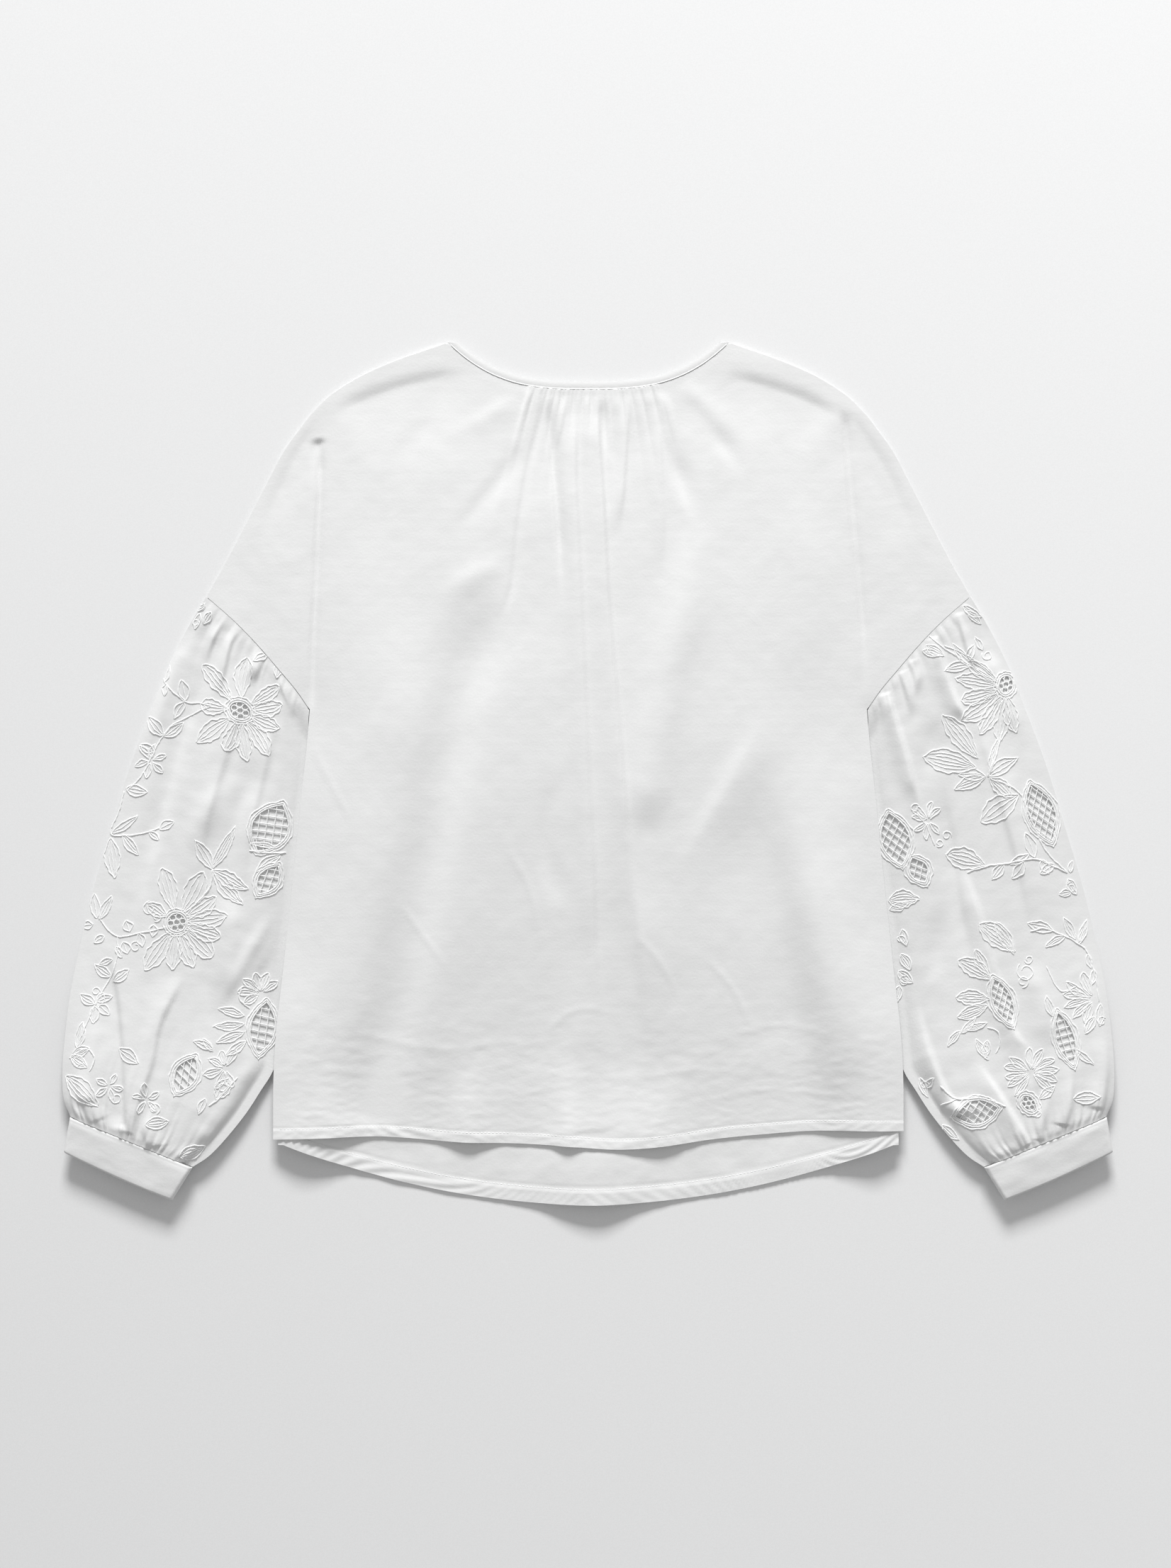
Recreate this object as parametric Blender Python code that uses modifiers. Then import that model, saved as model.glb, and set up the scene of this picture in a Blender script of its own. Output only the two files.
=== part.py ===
"""Embroidered blouse, laid flat with its arms down: the garment's cloth at its real size.

+X runs across the body, +Y from the hem to the neck, and +Z up from the table it lies on.
Sizes are in millimetres and become metres when a point is placed.
"""

from collections import namedtuple

import bmesh
import bpy
import numpy as np
from mathutils import Vector

MM = 0.001

# Cloth, seams and layers
CLOTH = 1.0
SEAM_GAP = 0.3
HEM_EXTRA = 0.8
STEEPEST = 1.5
LAYER = CLOTH + SEAM_GAP

# Room inside the garment and the way its edges roll down to the layer below
BODY_ROOM = 5.0
ARM_ROOM = 4.6
NECK_ROOM = 1.8
SLEEVE_ROOM = 8.0
CUFF_ROOM = 4.4
ROLL_WIDTH = 26.0
NECK_FALL = 55.0

# Neck: the panels end on one cubic curve and the binding reaches up to another
NECK_HALF = 114.0
NECK_LOW = 311.0
NECK_RISE = 38.0
BINDING_HALF = 106.0
BINDING_LOW = 317.4
BINDING_RISE = 31.6
BINDING_THICK = 2.0
BACK_NECK_DROP = 2.5
GATHER_FROM = -50.0
GATHER_TO = 58.0
GATHERS = 14
GATHER_HEIGHT = 1.9

# Hems
FRONT_HEM_BAND = 8.0
BACK_HEM_BAND = 12.5
HEM_STEP = 1.2
BACK_HEM_HALF = 250.0
BACK_HEM_LOW = -349.0
BACK_HEM_CORNER = -300.0
FRONT_HEM_CORNER = -292.0
HEM_REACH = -200.0

# Sleeves and cuffs
SLEEVE_GATHERS = 12
SLEEVE_GATHER_HEIGHT = 1.5
CUFF_GATHER_HEIGHT = 2.2
CUFF_LIFT = 3.5
CUFF_HEIGHT = 6.8
SEAM_OFFSET = 0.3
CUFF_WALL = 1.2
TUCK_LIFT = 2 * LAYER
TUCK_WIDTH = 17.0
TUCK_MARGIN = 8.0
BAR = 1.1
CELL_CUT = 30.0

WHITE = (0.86, 0.86, 0.85, 1.0)

# Columns of the front and the back where the shoulder, neck and gathers start and end
NECK_MARKS = [(0, 3, 6, 20, 23, 26), (0, 2, 5, 11, 14, 16)]

Point = namedtuple("Point", "x y")
Fold = namedtuple("Fold", "name y_top x_top x_mid x_low y_low height left right")
Net = namedtuple("Net", "side x y length width turn pitch")
Corner = namedtuple("Corner", "x y")

# From the neck point along the shoulder and the outer arm to the seam
SHOULDER = [
    Point(114.0, 349.0), Point(145.0, 338.3), Point(168.0, 329.3), Point(188.0, 319.6),
    Point(209.0, 306.0), Point(224.0, 291.3), Point(235.0, 277.0), Point(247.0, 260.0),
    Point(262.0, 231.5), Point(279.0, 198.5), Point(294.0, 170.0), Point(309.0, 143.5),
]
FOLD_ROW, ARM_ROW, SEAM_ROW = 4, 8, 11

# From the seam's outer end to the underarm
SEAM = [
    Point(309.0, 143.5), Point(291.0, 128.0), Point(277.5, 115.0), Point(264.5, 101.0),
    Point(249.5, 83.5), Point(236.5, 68.0), Point(225.4, 52.0),
]

# From the underarm to the front hem
SIDE = [
    Point(225.4, 52.0), Point(228.0, 21.0), Point(231.5, -12.0), Point(238.5, -80.0),
    Point(247.5, -164.0), Point(252.0, -205.0), Point(254.4, -245.0), Point(254.6, -296.0),
]

# The sleeve's outer edge, from the seam to the cuff
SLEEVE_OUTER = [
    Point(309.3, 143.1), Point(321.0, 124.0), Point(331.0, 106.0), Point(341.0, 85.0),
    Point(351.0, 60.0), Point(367.0, 18.0), Point(376.5, -10.5), Point(385.5, -41.0),
    Point(395.5, -74.0), Point(404.0, -105.0), Point(413.5, -148.0), Point(419.5, -180.0),
    Point(423.0, -210.0), Point(425.0, -238.0), Point(424.0, -262.0), Point(418.5, -277.0),
]

# The sleeve's inner edge: it lies under the body's side until it leaves it near the hem
SLEEVE_INNER = [
    Point(225.9, 51.5), Point(227.6, 37.0), Point(223.5, 16.0), Point(219.5, -10.0),
    Point(221.0, -50.0), Point(227.0, -100.0), Point(234.0, -150.0), Point(241.0, -190.0),
    Point(248.0, -219.0), Point(255.5, -241.0), Point(265.0, -256.5), Point(277.0, -275.0),
    Point(293.0, -295.0), Point(306.5, -309.0), Point(319.5, -317.7),
]

# Cuff corners, from the sleeve's edge to the open end
CUFF_TOP_OUT = Corner(418.7, -277.6)
CUFF_TOP_IN = Corner(319.7, -318.3)
CUFF_END_OUT = Corner(423.6, -305.5)
CUFF_END_IN = Corner(336.0, -344.5)

FRONT_HEM = [
    Point(-254.6, -295.5), Point(-184.0, -293.8), Point(-156.0, -294.4), Point(-105.0, -298.3),
    Point(-56.0, -299.5), Point(-12.0, -301.7), Point(26.0, -304.0), Point(61.0, -301.7),
    Point(102.0, -296.0), Point(143.0, -292.0), Point(188.0, -289.0), Point(254.6, -288.6),
]

# The front's largest folds: a ridge's line in x at its top, middle and low end, its height and
# how far it falls away to the left and to the right
FRONT_FOLDS = [
    Fold("centre_pleat_left", 306, -12, -3, 6, 20, 1.4, 6, 16),
    Fold("centre_pleat_edge", 306, 4, 22, 46, -170, 2.8, 15, 4.5),
    Fold("left_short_pleat", 300, -30, -25, -20, 130, 1.6, 6, 8),
    Fold("left_fan_fold", 300, -47, -54, -68, 125, 2.4, 6, 14),
    Fold("left_long_fold", 170, -62, -112, -152, -262, 4.2, 15, 38),
    Fold("left_side_swell", 230, -165, -196, -214, -240, 2.0, 22, 30),
    Fold("centre_left_swell", 150, -18, -16, -12, -292, 2.2, 11, 11),
    Fold("right_fan_fold", 296, 56, 60, 62, 160, 2.2, 10, 6),
    Fold("right_diagonal_fold", 92, 138, 74, 55, -250, 3.6, 26, 20),
    Fold("right_long_fold", 110, 150, 190, 212, -262, 3.4, 18, 22),
    Fold("right_neck_fold", 280, 92, 112, 128, 180, 2.0, 14, 8),
    Fold("hem_wave_left", -150, -70, -92, -108, -330, 2.0, 26, 26),
    Fold("hem_wave_right", -170, 74, 80, 86, -330, 2.4, 24, 24),
]

# The sleeves' largest folds, across (0 outer edge to 1 inner edge) against down (0 seam to 1 cuff)
Crease = namedtuple("Crease", "side down_top at_top at_mid at_low down_low height spread")
SLEEVE_FOLDS = [
    Crease(-1, 0.03, 0.42, 0.50, 0.62, 0.55, 1.8, 11),
    Crease(-1, 0.05, 0.68, 0.62, 0.50, 0.62, 1.4, 9),
    Crease(-1, 0.40, 0.20, 0.24, 0.30, 0.99, 1.6, 9),
    Crease(-1, 0.48, 0.72, 0.58, 0.46, 0.99, 2.2, 9),
    Crease(-1, 0.60, 0.84, 0.78, 0.70, 0.99, 1.7, 9),
    Crease(1, 0.03, 0.30, 0.36, 0.44, 0.50, 1.6, 10),
    Crease(1, 0.05, 0.66, 0.74, 0.80, 0.60, 2.0, 9),
    Crease(1, 0.42, 0.62, 0.58, 0.66, 0.99, 1.9, 10),
    Crease(1, 0.55, 0.22, 0.28, 0.34, 0.99, 1.5, 9),
    Crease(1, 0.58, 0.90, 0.84, 0.80, 0.99, 1.6, 8),
]

# Drawn-thread nets whose gaps are over 4 mm, cut through the sleeve's front wall
NETS = [
    Net(-1, -257.5, -44.0, 42.0, 28.0, 62.0, 5.6),
    Net(-1, -259.0, -86.0, 27.0, 15.0, 55.0, 5.6),
    Net(-1, -263.5, -206.0, 42.0, 19.0, 82.0, 5.7),
    Net(-1, -325.0, -243.0, 31.0, 17.0, 62.0, 5.7),
    Net(1, 366.5, -32.0, 50.0, 22.0, 110.0, 5.6),
    Net(1, 248.5, -53.0, 43.0, 22.0, 104.0, 5.7),
    Net(1, 267.0, -78.0, 22.0, 14.0, 118.0, 5.6),
    Net(1, 385.0, -214.0, 44.0, 14.0, 106.0, 5.7),
    Net(1, 313.0, -273.0, 34.0, 19.0, 12.0, 5.8),
]


def smooth(share):
    """A soft step from 0 to 1."""
    share = np.clip(share, 0.0, 1.0)
    return share * share * (3.0 - 2.0 * share)


def roll(distance, width=ROLL_WIDTH):
    """How far cloth has risen at this distance in from a joined edge, from 0 to 1."""
    share = np.clip(distance / width, 0.0, 1.0)
    return share * (2.0 - share)


def spline(rows, position):
    """Points at these positions on the smooth curve through the rows; row k is at position k."""
    knots = np.array([(row.x, row.y) for row in rows])
    knots = np.vstack([2 * knots[0] - knots[1], knots, 2 * knots[-1] - knots[-2]])
    position = np.clip(np.asarray(position, float), 0.0, len(rows) - 1.0)
    first = np.minimum(position.astype(int), len(rows) - 2)
    t = (position - first)[..., None]
    p0, p1, p2, p3 = (knots[first + k] for k in range(4))
    return 0.5 * (2 * p1 + (p2 - p0) * t + (2 * p0 - 5 * p1 + 4 * p2 - p3) * t**2
                  + (3 * p1 - p0 - 3 * p2 + p3) * t**3)


def along(rows, share, first=0, last=None):
    """Points at these shares of the curve's length between two of its rows."""
    last = len(rows) - 1 if last is None else last
    steps = np.linspace(first, last, 160)
    points = spline(rows, steps)
    run = np.concatenate([[0.0], np.cumsum(np.linalg.norm(np.diff(points, axis=0), axis=1))])
    return spline(rows, np.interp(np.asarray(share) * run[-1], run, steps))


def x_at(rows, y):
    """The curve's x at this height, for a curve that falls all the way."""
    points = spline(rows, np.linspace(0, len(rows) - 1, 160))[::-1]
    return np.interp(y, points[:, 1], points[:, 0])


def distance_to(rows, x, y):
    """Distance from points to the curve through the rows, on the side where x is positive."""
    line = spline(rows, np.linspace(0, len(rows) - 1, 70))
    start, step = line[:-1], np.diff(line, axis=0)
    offset = np.stack([x, y], -1)[..., None, :] - start
    share = np.clip((offset * step).sum(-1) / (step * step).sum(-1), 0.0, 1.0)
    return np.linalg.norm(offset - share[..., None] * step, axis=-1).min(-1)


def neck_y(x):
    """Height of the neck edge of the panels."""
    return NECK_LOW + NECK_RISE * np.minimum(np.abs(x) / NECK_HALF, 1.0) ** 3


def front_hem_y(x):
    """Height of the front hem."""
    points = spline(FRONT_HEM, np.linspace(0, len(FRONT_HEM) - 1, 160))
    return np.interp(x, points[:, 0], points[:, 1])


def back_hem_y(x):
    """Height of the back hem, a long shallow tail."""
    fall = BACK_HEM_CORNER - BACK_HEM_LOW
    return BACK_HEM_CORNER - fall * (1.0 - np.minimum(np.abs(x) / BACK_HEM_HALF, 1.0) ** 2)


def hidden_width(y):
    """How far the sleeve reaches under the body's side at this height."""
    return np.maximum(x_at(SIDE, y) - x_at(SLEEVE_INNER, y), 0.0)


def back_under(x, y):
    """Underside of the back panel: flat on the table, but over the sleeves' tucked edges."""
    inward = x_at(SIDE, y) - np.abs(x)
    reach = smooth((51.0 - y) / 13.0) * smooth((y + 276.0) / 30.0)
    return TUCK_LIFT * reach * (1.0 - smooth((inward - TUCK_WIDTH) / 24.0))


def fold_height(fold, x, y):
    """Height of one ridge of the front panel at these points."""
    down = (fold.y_top - y) / (fold.y_top - fold.y_low)
    t = np.clip(down, 0.0, 1.0)
    line = (fold.x_top * (1 - t) * (1 - 2 * t) + 4 * fold.x_mid * t * (1 - t)
            + fold.x_low * t * (2 * t - 1))
    aside = x - line
    spread = np.where(aside < 0, fold.left, fold.right)
    ends = smooth(down / 0.16) * smooth((1.0 - down) / 0.22)
    return fold.height * ends * np.exp(-((aside / spread) ** 2))


def side_step(x, y):
    """The fold that runs from the shoulder down to the underarm: body cloth rolled over the arm."""
    line = np.interp(y, [SIDE[0].y, 306.0], [SIDE[0].x, 209.0])
    aside = np.abs(x) - line
    ends = smooth((y - 56.0) / 40.0) * smooth((278.0 - y) / 26.0)
    return ends * (2.4 * np.exp(-((aside + 5.0) / 9.0) ** 2) * (aside < -5.0)
                   + 2.4 * (1.0 - smooth((aside + 5.0) / 7.0)) * (aside >= -5.0))


def front_under(x, y):
    """Underside of the front panel, without its gathers."""
    shoulder = distance_to(SHOULDER, np.abs(x), y)
    side = distance_to(SIDE, np.abs(x), y)
    edge = roll(np.minimum(shoulder, side))
    arm_side = smooth((np.abs(x) - np.interp(y, [52.0, 306.0], [222.0, 206.0])) / 8.0)
    room = BODY_ROOM + (ARM_ROOM - BODY_ROOM) * arm_side * smooth((y - 50.0) / 20.0)
    neck = smooth((neck_y(x) - y) / NECK_FALL)
    near_neck = np.clip(1.0 - (np.abs(x) - NECK_HALF) / 40.0, 0.0, 1.0)
    room = room * (1 - near_neck) + near_neck * (NECK_ROOM + (room - NECK_ROOM) * neck)
    trough = 1.5 * np.exp(-((shoulder - 21.0) / 8.0) ** 2) * smooth((y - 150.0) / 60.0)
    ridges = sum(fold_height(fold, x, y) for fold in FRONT_FOLDS) * roll(side, 40.0)
    folds = ridges * smooth((neck_y(x) - y) / 14.0) + side_step(x, y)
    return back_under(x, y) + LAYER + room * edge - trough * edge + folds * roll(shoulder, 30.0)


def net_material(name):
    """Plain white cotton for one piece."""
    material = bpy.data.materials.new(name)
    material.use_nodes = True
    shader = material.node_tree.nodes["Principled BSDF"]
    shader.inputs["Base Color"].default_value = WHITE
    shader.inputs["Roughness"].default_value = 0.85
    shader.inputs["Metallic"].default_value = 0.0
    return material


def new_piece(name, bm, collection):
    """Makes a mesh object with its own cloth material and puts it in the collection."""
    bmesh.ops.recalc_face_normals(bm, faces=bm.faces)
    mesh = bpy.data.meshes.new(name)
    bm.to_mesh(mesh)
    bm.free()
    piece = bpy.data.objects.new(name, mesh)
    piece.data.materials.append(net_material(name + "_cotton"))
    collection.objects.link(piece)
    return piece


def index_grid(columns, rows):
    """A flat grid whose x and y are column and row numbers."""
    bm = bmesh.new()
    bmesh.ops.create_grid(bm, x_segments=columns, y_segments=rows, size=1.0)
    for vert in bm.verts:
        vert.co = Vector(((vert.co.x + 1) / 2 * columns, (vert.co.y + 1) / 2 * rows, 0.0))
    return bm


def refine(bm, first, last, row_from, row_to, cuts):
    """Splits the crosswise edges between two columns and two rows, for gathers."""
    def inside(edge):
        a, b = (vert.co for vert in edge.verts)
        level = abs(a.y - b.y) < 1e-3 and row_from - 0.1 < a.y < row_to + 0.1
        return level and min(a.x, b.x) > first - 0.1 and max(a.x, b.x) < last + 0.1
    edges = [edge for edge in bm.edges if inside(edge)]
    bmesh.ops.subdivide_edges(bm, edges=edges, cuts=cuts)


def make_wall(bm, place, extra=None):
    """Places the flat grid's points as the cloth's underside and gives it its thickness upwards.

    place turns column and row numbers into x, y and z; extra is the hem's added thickness.
    """
    verts = list(bm.verts)
    index = np.round([(vert.co.x, vert.co.y) for vert in verts], 3)
    points = np.stack(place(index[:, 0], index[:, 1]), -1)
    for vert, point in zip(verts, points):
        vert.co = Vector(point)
    bmesh.ops.recalc_face_normals(bm, faces=bm.faces)
    bm.normal_update()
    rise = [CLOTH * min(1.0 / max(abs(vert.normal.z), 0.1), STEEPEST) for vert in verts]
    if extra is not None:
        rise = np.array(rise) + extra(points[:, 0], points[:, 1])
    under = list(bm.faces)
    made = bmesh.ops.extrude_face_region(bm, geom=under, use_keep_orig=True)
    upper = [item for item in made["geom"] if isinstance(item, bmesh.types.BMVert)]
    lifted = {tuple(np.round(point, 5)): up for point, up in zip(points.astype(np.float32), rise)}
    for vert in upper:
        vert.co.z += lifted[tuple(np.round(np.array(vert.co, dtype=np.float32), 5))]
    bmesh.ops.scale(bm, vec=(MM, MM, MM), verts=bm.verts)
    bmesh.ops.triangulate(bm, faces=bm.faces)
    return bm


class PanelLayout:
    """Columns and rows of a body panel with its two shoulder pieces.

    The arm columns stand on the sleeve seam, the body's on the hem. The half shares place the
    body's columns from the middle to the side; the lower rows are heights at the side.
    """

    def __init__(self, arm, marks, half_shares, hem_rows, lower_rows, upper_rows, hem, neck_drop,
                 inset):
        self.arm = arm
        self.marks = marks
        self.body = marks[-1]
        self.shares = [-share for share in half_shares[:0:-1]] + list(half_shares)
        self.hem_y, self.hem_corner = hem
        self.lower_rows = [self.hem_corner + up for up in hem_rows] + list(lower_rows)
        self.upper_rows = upper_rows
        self.low = len(self.lower_rows) - 1
        self.rows = self.low + len(upper_rows) - 1
        self.follow = [1.0 if k < len(hem_rows) else
                       max(0.0, (HEM_REACH - y) / (HEM_REACH - self.hem_corner))
                       for k, y in enumerate(self.lower_rows)]
        self.neck_drop = neck_drop
        self.inset = inset

    def grid(self):
        """The index grid with the corners beside the body's lower part left out."""
        bm = index_grid(2 * self.arm + self.body, self.rows)
        outside = []
        for face in bm.faces:
            centre = face.calc_center_median()
            if centre.y < self.low and not self.arm < centre.x < self.arm + self.body:
                outside.append(face)
        bmesh.ops.delete(bm, geom=outside, context="FACES")
        return bm

    def top(self, column):
        """The panel's top edge: shoulder, neck edge, shoulder."""
        shoulder, neck, gather_from, gather_to, neck_end, end = self.marks
        x = np.interp(column, [neck, gather_from, gather_to, neck_end],
                      [-NECK_HALF, GATHER_FROM, GATHER_TO, NECK_HALF])
        points = np.stack([x, neck_y(x) - self.neck_drop], -1)
        left = column < neck
        right = column > neck_end
        share = np.where(left, 1 - (column - shoulder) / (neck - shoulder),
                         (column - neck_end) / (end - neck_end))
        side = along(SHOULDER, np.clip(share, 0, 1), 0, FOLD_ROW)
        side[..., 0] *= np.where(left, -1.0, 1.0)
        return np.where((left | right)[..., None], side, points)

    def body_points(self, column, row):
        """Points of the body between hem and shoulder."""
        across = np.interp(column, range(self.body + 1), self.shares)
        level = np.interp(row, range(self.low + 1), self.lower_rows)
        follow = np.interp(row, range(self.low + 1), self.follow)
        y = level + (self.hem_y(across * SIDE[-1].x) - self.hem_corner) * follow
        inset = self.inset * smooth((HEM_REACH - level) / 90.0)
        below = np.stack([across * (x_at(SIDE, y) - inset), y], -1)
        upper = np.interp(row - self.low, range(len(self.upper_rows)), self.upper_rows)
        start = np.stack([across * SIDE[0].x, np.full_like(across, SIDE[0].y)], -1)
        above = start + (self.top(column) - start) * upper[:, None]
        return np.where((row <= self.low)[:, None], below, above)

    def arm_points(self, out, up):
        """Points of the right shoulder piece: out from the fold to the arm's edge, up from the seam."""
        seam = along(SEAM, 1 - out)
        top = along(SHOULDER, out, FOLD_ROW, ARM_ROW)
        fold = np.array([SEAM[-1].x, SEAM[-1].y])
        fold_top = np.array([SHOULDER[FOLD_ROW].x, SHOULDER[FOLD_ROW].y])
        inner = fold + (fold_top - fold) * up[:, None]
        outer = along(SHOULDER, 1 - up, ARM_ROW, SEAM_ROW)
        seam_end, arm_end = along(SEAM, 0.0), along(SHOULDER, 0.0, ARM_ROW, SEAM_ROW)
        o, u = out[:, None], up[:, None]
        corners = ((1 - o) * (1 - u) * fold + o * (1 - u) * seam_end
                   + (1 - o) * u * fold_top + o * u * arm_end)
        return (1 - u) * seam + u * top + (1 - o) * inner + o * outer - corners

    def plan(self, column, row):
        """Where a column and row of the grid lie, seen from above."""
        points = self.body_points(np.clip(column - self.arm, 0, self.body), row)
        left = column < self.arm
        right = column > self.arm + self.body
        out = np.where(left, self.arm - column, column - self.arm - self.body) / self.arm
        up = np.interp(row - self.low, range(len(self.upper_rows)), self.upper_rows)
        arm = self.arm_points(np.clip(out, 0, 1), up)
        arm[:, 0] *= np.where(left, -1.0, 1.0)
        return np.where((left | right)[:, None], arm, points)


def make_front(collection):
    """Front panel: gathered into the neck, with soft folds down to a turned hem."""
    layout = PanelLayout(
        arm=6, marks=NECK_MARKS[0],
        half_shares=[0, 0.08, 0.16, 0.24, 0.32, 0.4, 0.48, 0.56, 0.64, 0.73, 0.82, 0.9, 0.955, 1],
        hem_rows=[0, FRONT_HEM_BAND, FRONT_HEM_BAND + HEM_STEP],
        lower_rows=[-262, -240, -200, -155, -105, -52, -5, 22, 36, 44, 52],
        upper_rows=[0, 0.2, 0.37, 0.52, 0.65, 0.76, 0.85, 0.91, 0.955, 0.985, 1.0],
        hem=(front_hem_y, FRONT_HEM_CORNER), neck_drop=0.0, inset=0.0)
    bm = layout.grid()
    first = layout.arm + layout.marks[2]
    last = layout.arm + layout.marks[3]
    refine(bm, first, last, layout.rows - 4, layout.rows, 3)

    def place(column, row):
        plan = layout.plan(column, row)
        x, y = plan[:, 0], plan[:, 1]
        below = neck_y(x) - y
        wave = 0.5 + 0.5 * np.cos(2 * np.pi * (column - first))
        fade = (0.35 + 0.65 * smooth(below / 10.0)) * (1 - smooth((below - 14.0) / 26.0))
        ends = smooth((column - first) / 0.5) * smooth((last - column) / 0.5)
        fine = (row >= layout.rows - 4) & (column >= first) & (column <= last)
        gathers = GATHER_HEIGHT * wave * fade * ends * fine
        return x, y, front_under(x, y) + gathers

    def hem(x, y):
        return HEM_EXTRA * (y < front_hem_y(x) + FRONT_HEM_BAND + 0.3)

    return new_piece("front_panel", make_wall(bm, place, hem), collection)


def make_back(collection):
    """Back panel: plain, with a longer rounded tail whose wide turned hem shows inside."""
    layout = PanelLayout(
        arm=8, marks=NECK_MARKS[1],
        half_shares=[0, 0.13, 0.27, 0.42, 0.56, 0.7, 0.83, 0.93, 1],
        hem_rows=[0, BACK_HEM_BAND, BACK_HEM_BAND + HEM_STEP],
        lower_rows=[-262, -240, -155, -52, 22, 36, 44, 52],
        upper_rows=[0, 0.37, 0.76, 1.0],
        hem=(back_hem_y, BACK_HEM_CORNER), neck_drop=BACK_NECK_DROP, inset=4.0)
    bm = layout.grid()

    def place(column, row):
        plan = layout.plan(column, row)
        x, y = plan[:, 0], plan[:, 1]
        return x, y, back_under(x, y)

    def hem(x, y):
        return HEM_EXTRA * (y < back_hem_y(x) + BACK_HEM_BAND + 0.3) * (np.abs(x) < 232.0)

    return new_piece("back_panel", make_wall(bm, place, hem), collection)


def sleeve_plan(across, down):
    """Where a point of the right sleeve lies: across from outer to inner edge, down from the seam."""
    seam = along(SEAM, across) + np.array([SEAM_OFFSET, -SEAM_OFFSET])
    start = np.array([CUFF_TOP_OUT.x, CUFF_TOP_OUT.y])
    cuff = start + (np.array([CUFF_TOP_IN.x, CUFF_TOP_IN.y]) - start) * across[:, None]
    cuff = cuff + np.array([-0.15, 0.36])
    outer, inner = along(SLEEVE_OUTER, down), along(SLEEVE_INNER, down)
    a, d = across[:, None], down[:, None]
    ends = [along(SEAM, share) + np.array([SEAM_OFFSET, -SEAM_OFFSET]) for share in (0.0, 1.0)]
    ends += [np.array(corner) + np.array([-0.15, 0.36]) for corner in (CUFF_TOP_OUT, CUFF_TOP_IN)]
    corners = ((1 - a) * (1 - d) * ends[0] + a * (1 - d) * ends[1]
               + (1 - a) * d * ends[2] + a * d * ends[3])
    return (1 - d) * seam + d * cuff + (1 - a) * outer + a * inner - corners


def sleeve_back_under(down):
    """Underside of the sleeve's back wall: on the table, then up to the cuff."""
    return CUFF_LIFT * smooth((down - 0.86) / 0.13)


def sleeve_front_under(side, across, down):
    """Underside of the sleeve's front wall: a long balloon, gathered at both ends."""
    outer, inner = along(SLEEVE_OUTER, down), along(SLEEVE_INNER, down)
    width = np.linalg.norm(outer - inner, axis=-1)
    hidden = (hidden_width(inner[:, 1]) + TUCK_MARGIN) * smooth(down / 0.05)
    from_outer = across * width
    from_inner = np.maximum((1 - across) * width - hidden, 0.0)
    edge = roll(np.minimum(from_outer, from_inner), 24.0)
    balloon = np.interp(down, [0.0, 0.14, 0.35, 0.7, 0.88, 0.94, 1.0],
                        [ARM_ROOM, 5.6, 7.0, SLEEVE_ROOM, 7.7, 6.1, CUFF_ROOM])
    seam = along(SEAM, across)
    at_seam = roll(np.minimum(distance_to(SHOULDER, seam[:, 0], seam[:, 1]),
                              distance_to(SIDE, seam[:, 0], seam[:, 1])))
    length = 0.03 + 0.07 * smooth((1 - across) / 0.2)
    room = ARM_ROOM * at_seam + (balloon * edge - ARM_ROOM * at_seam) * smooth(down / length)
    phase = 2 * np.pi * SLEEVE_GATHERS * across
    wave = 0.5 - 0.5 * np.cos(phase)
    head_far = down * 420.0
    head = (0.4 + 0.6 * smooth(head_far / 9.0)) * (1 - smooth((head_far - 12.0) / 32.0))
    cuff_far = (1 - down) * 420.0
    foot = (0.45 + 0.55 * smooth(cuff_far / 9.0)) * (1 - smooth((cuff_far - 16.0) / 44.0))
    gathers = wave * (SLEEVE_GATHER_HEIGHT * head + CUFF_GATHER_HEIGHT * foot)
    creases = 0.0
    for crease in SLEEVE_FOLDS:
        if crease.side != side:
            continue
        share = np.clip((down - crease.down_top) / (crease.down_low - crease.down_top), 0, 1)
        line = (crease.at_top * (1 - share) * (1 - 2 * share)
                + 4 * crease.at_mid * share * (1 - share) + crease.at_low * share * (2 * share - 1))
        ends = smooth(share / 0.2) * smooth((1 - share) / 0.2)
        aside = (across - line) * width
        creases = creases + crease.height * ends * np.exp(-((aside / crease.spread) ** 2))
    return sleeve_back_under(down) + LAYER + room + (gathers + creases) * roll(
        np.minimum(from_outer, from_inner), 16.0)


def cell_centres(net):
    """Centres of a leaf-shaped net's whole cells, in a lattice along the leaf."""
    turn = np.radians(net.turn)
    axis = np.array([np.cos(turn), np.sin(turn)])
    side = np.array([-axis[1], axis[0]])
    long_cells = int(net.length / net.pitch / 2) + 1
    wide_cells = int(net.width / net.pitch / 2) + 1
    centres = []
    for i in range(-long_cells, long_cells + 1):
        for j in range(-wide_cells, wide_cells + 1):
            at, off = i * net.pitch, j * net.pitch
            far = (abs(at) + net.pitch * 0.42) / (net.length / 2)
            near = (abs(off) + net.pitch * 0.42) / (net.width / 2)
            if far < 1.06 and near < 1.12 * (1 - far**2.2) + 0.22:
                centres.append((np.array([net.x, net.y]) + axis * at + side * off, turn))
    return centres


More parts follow.
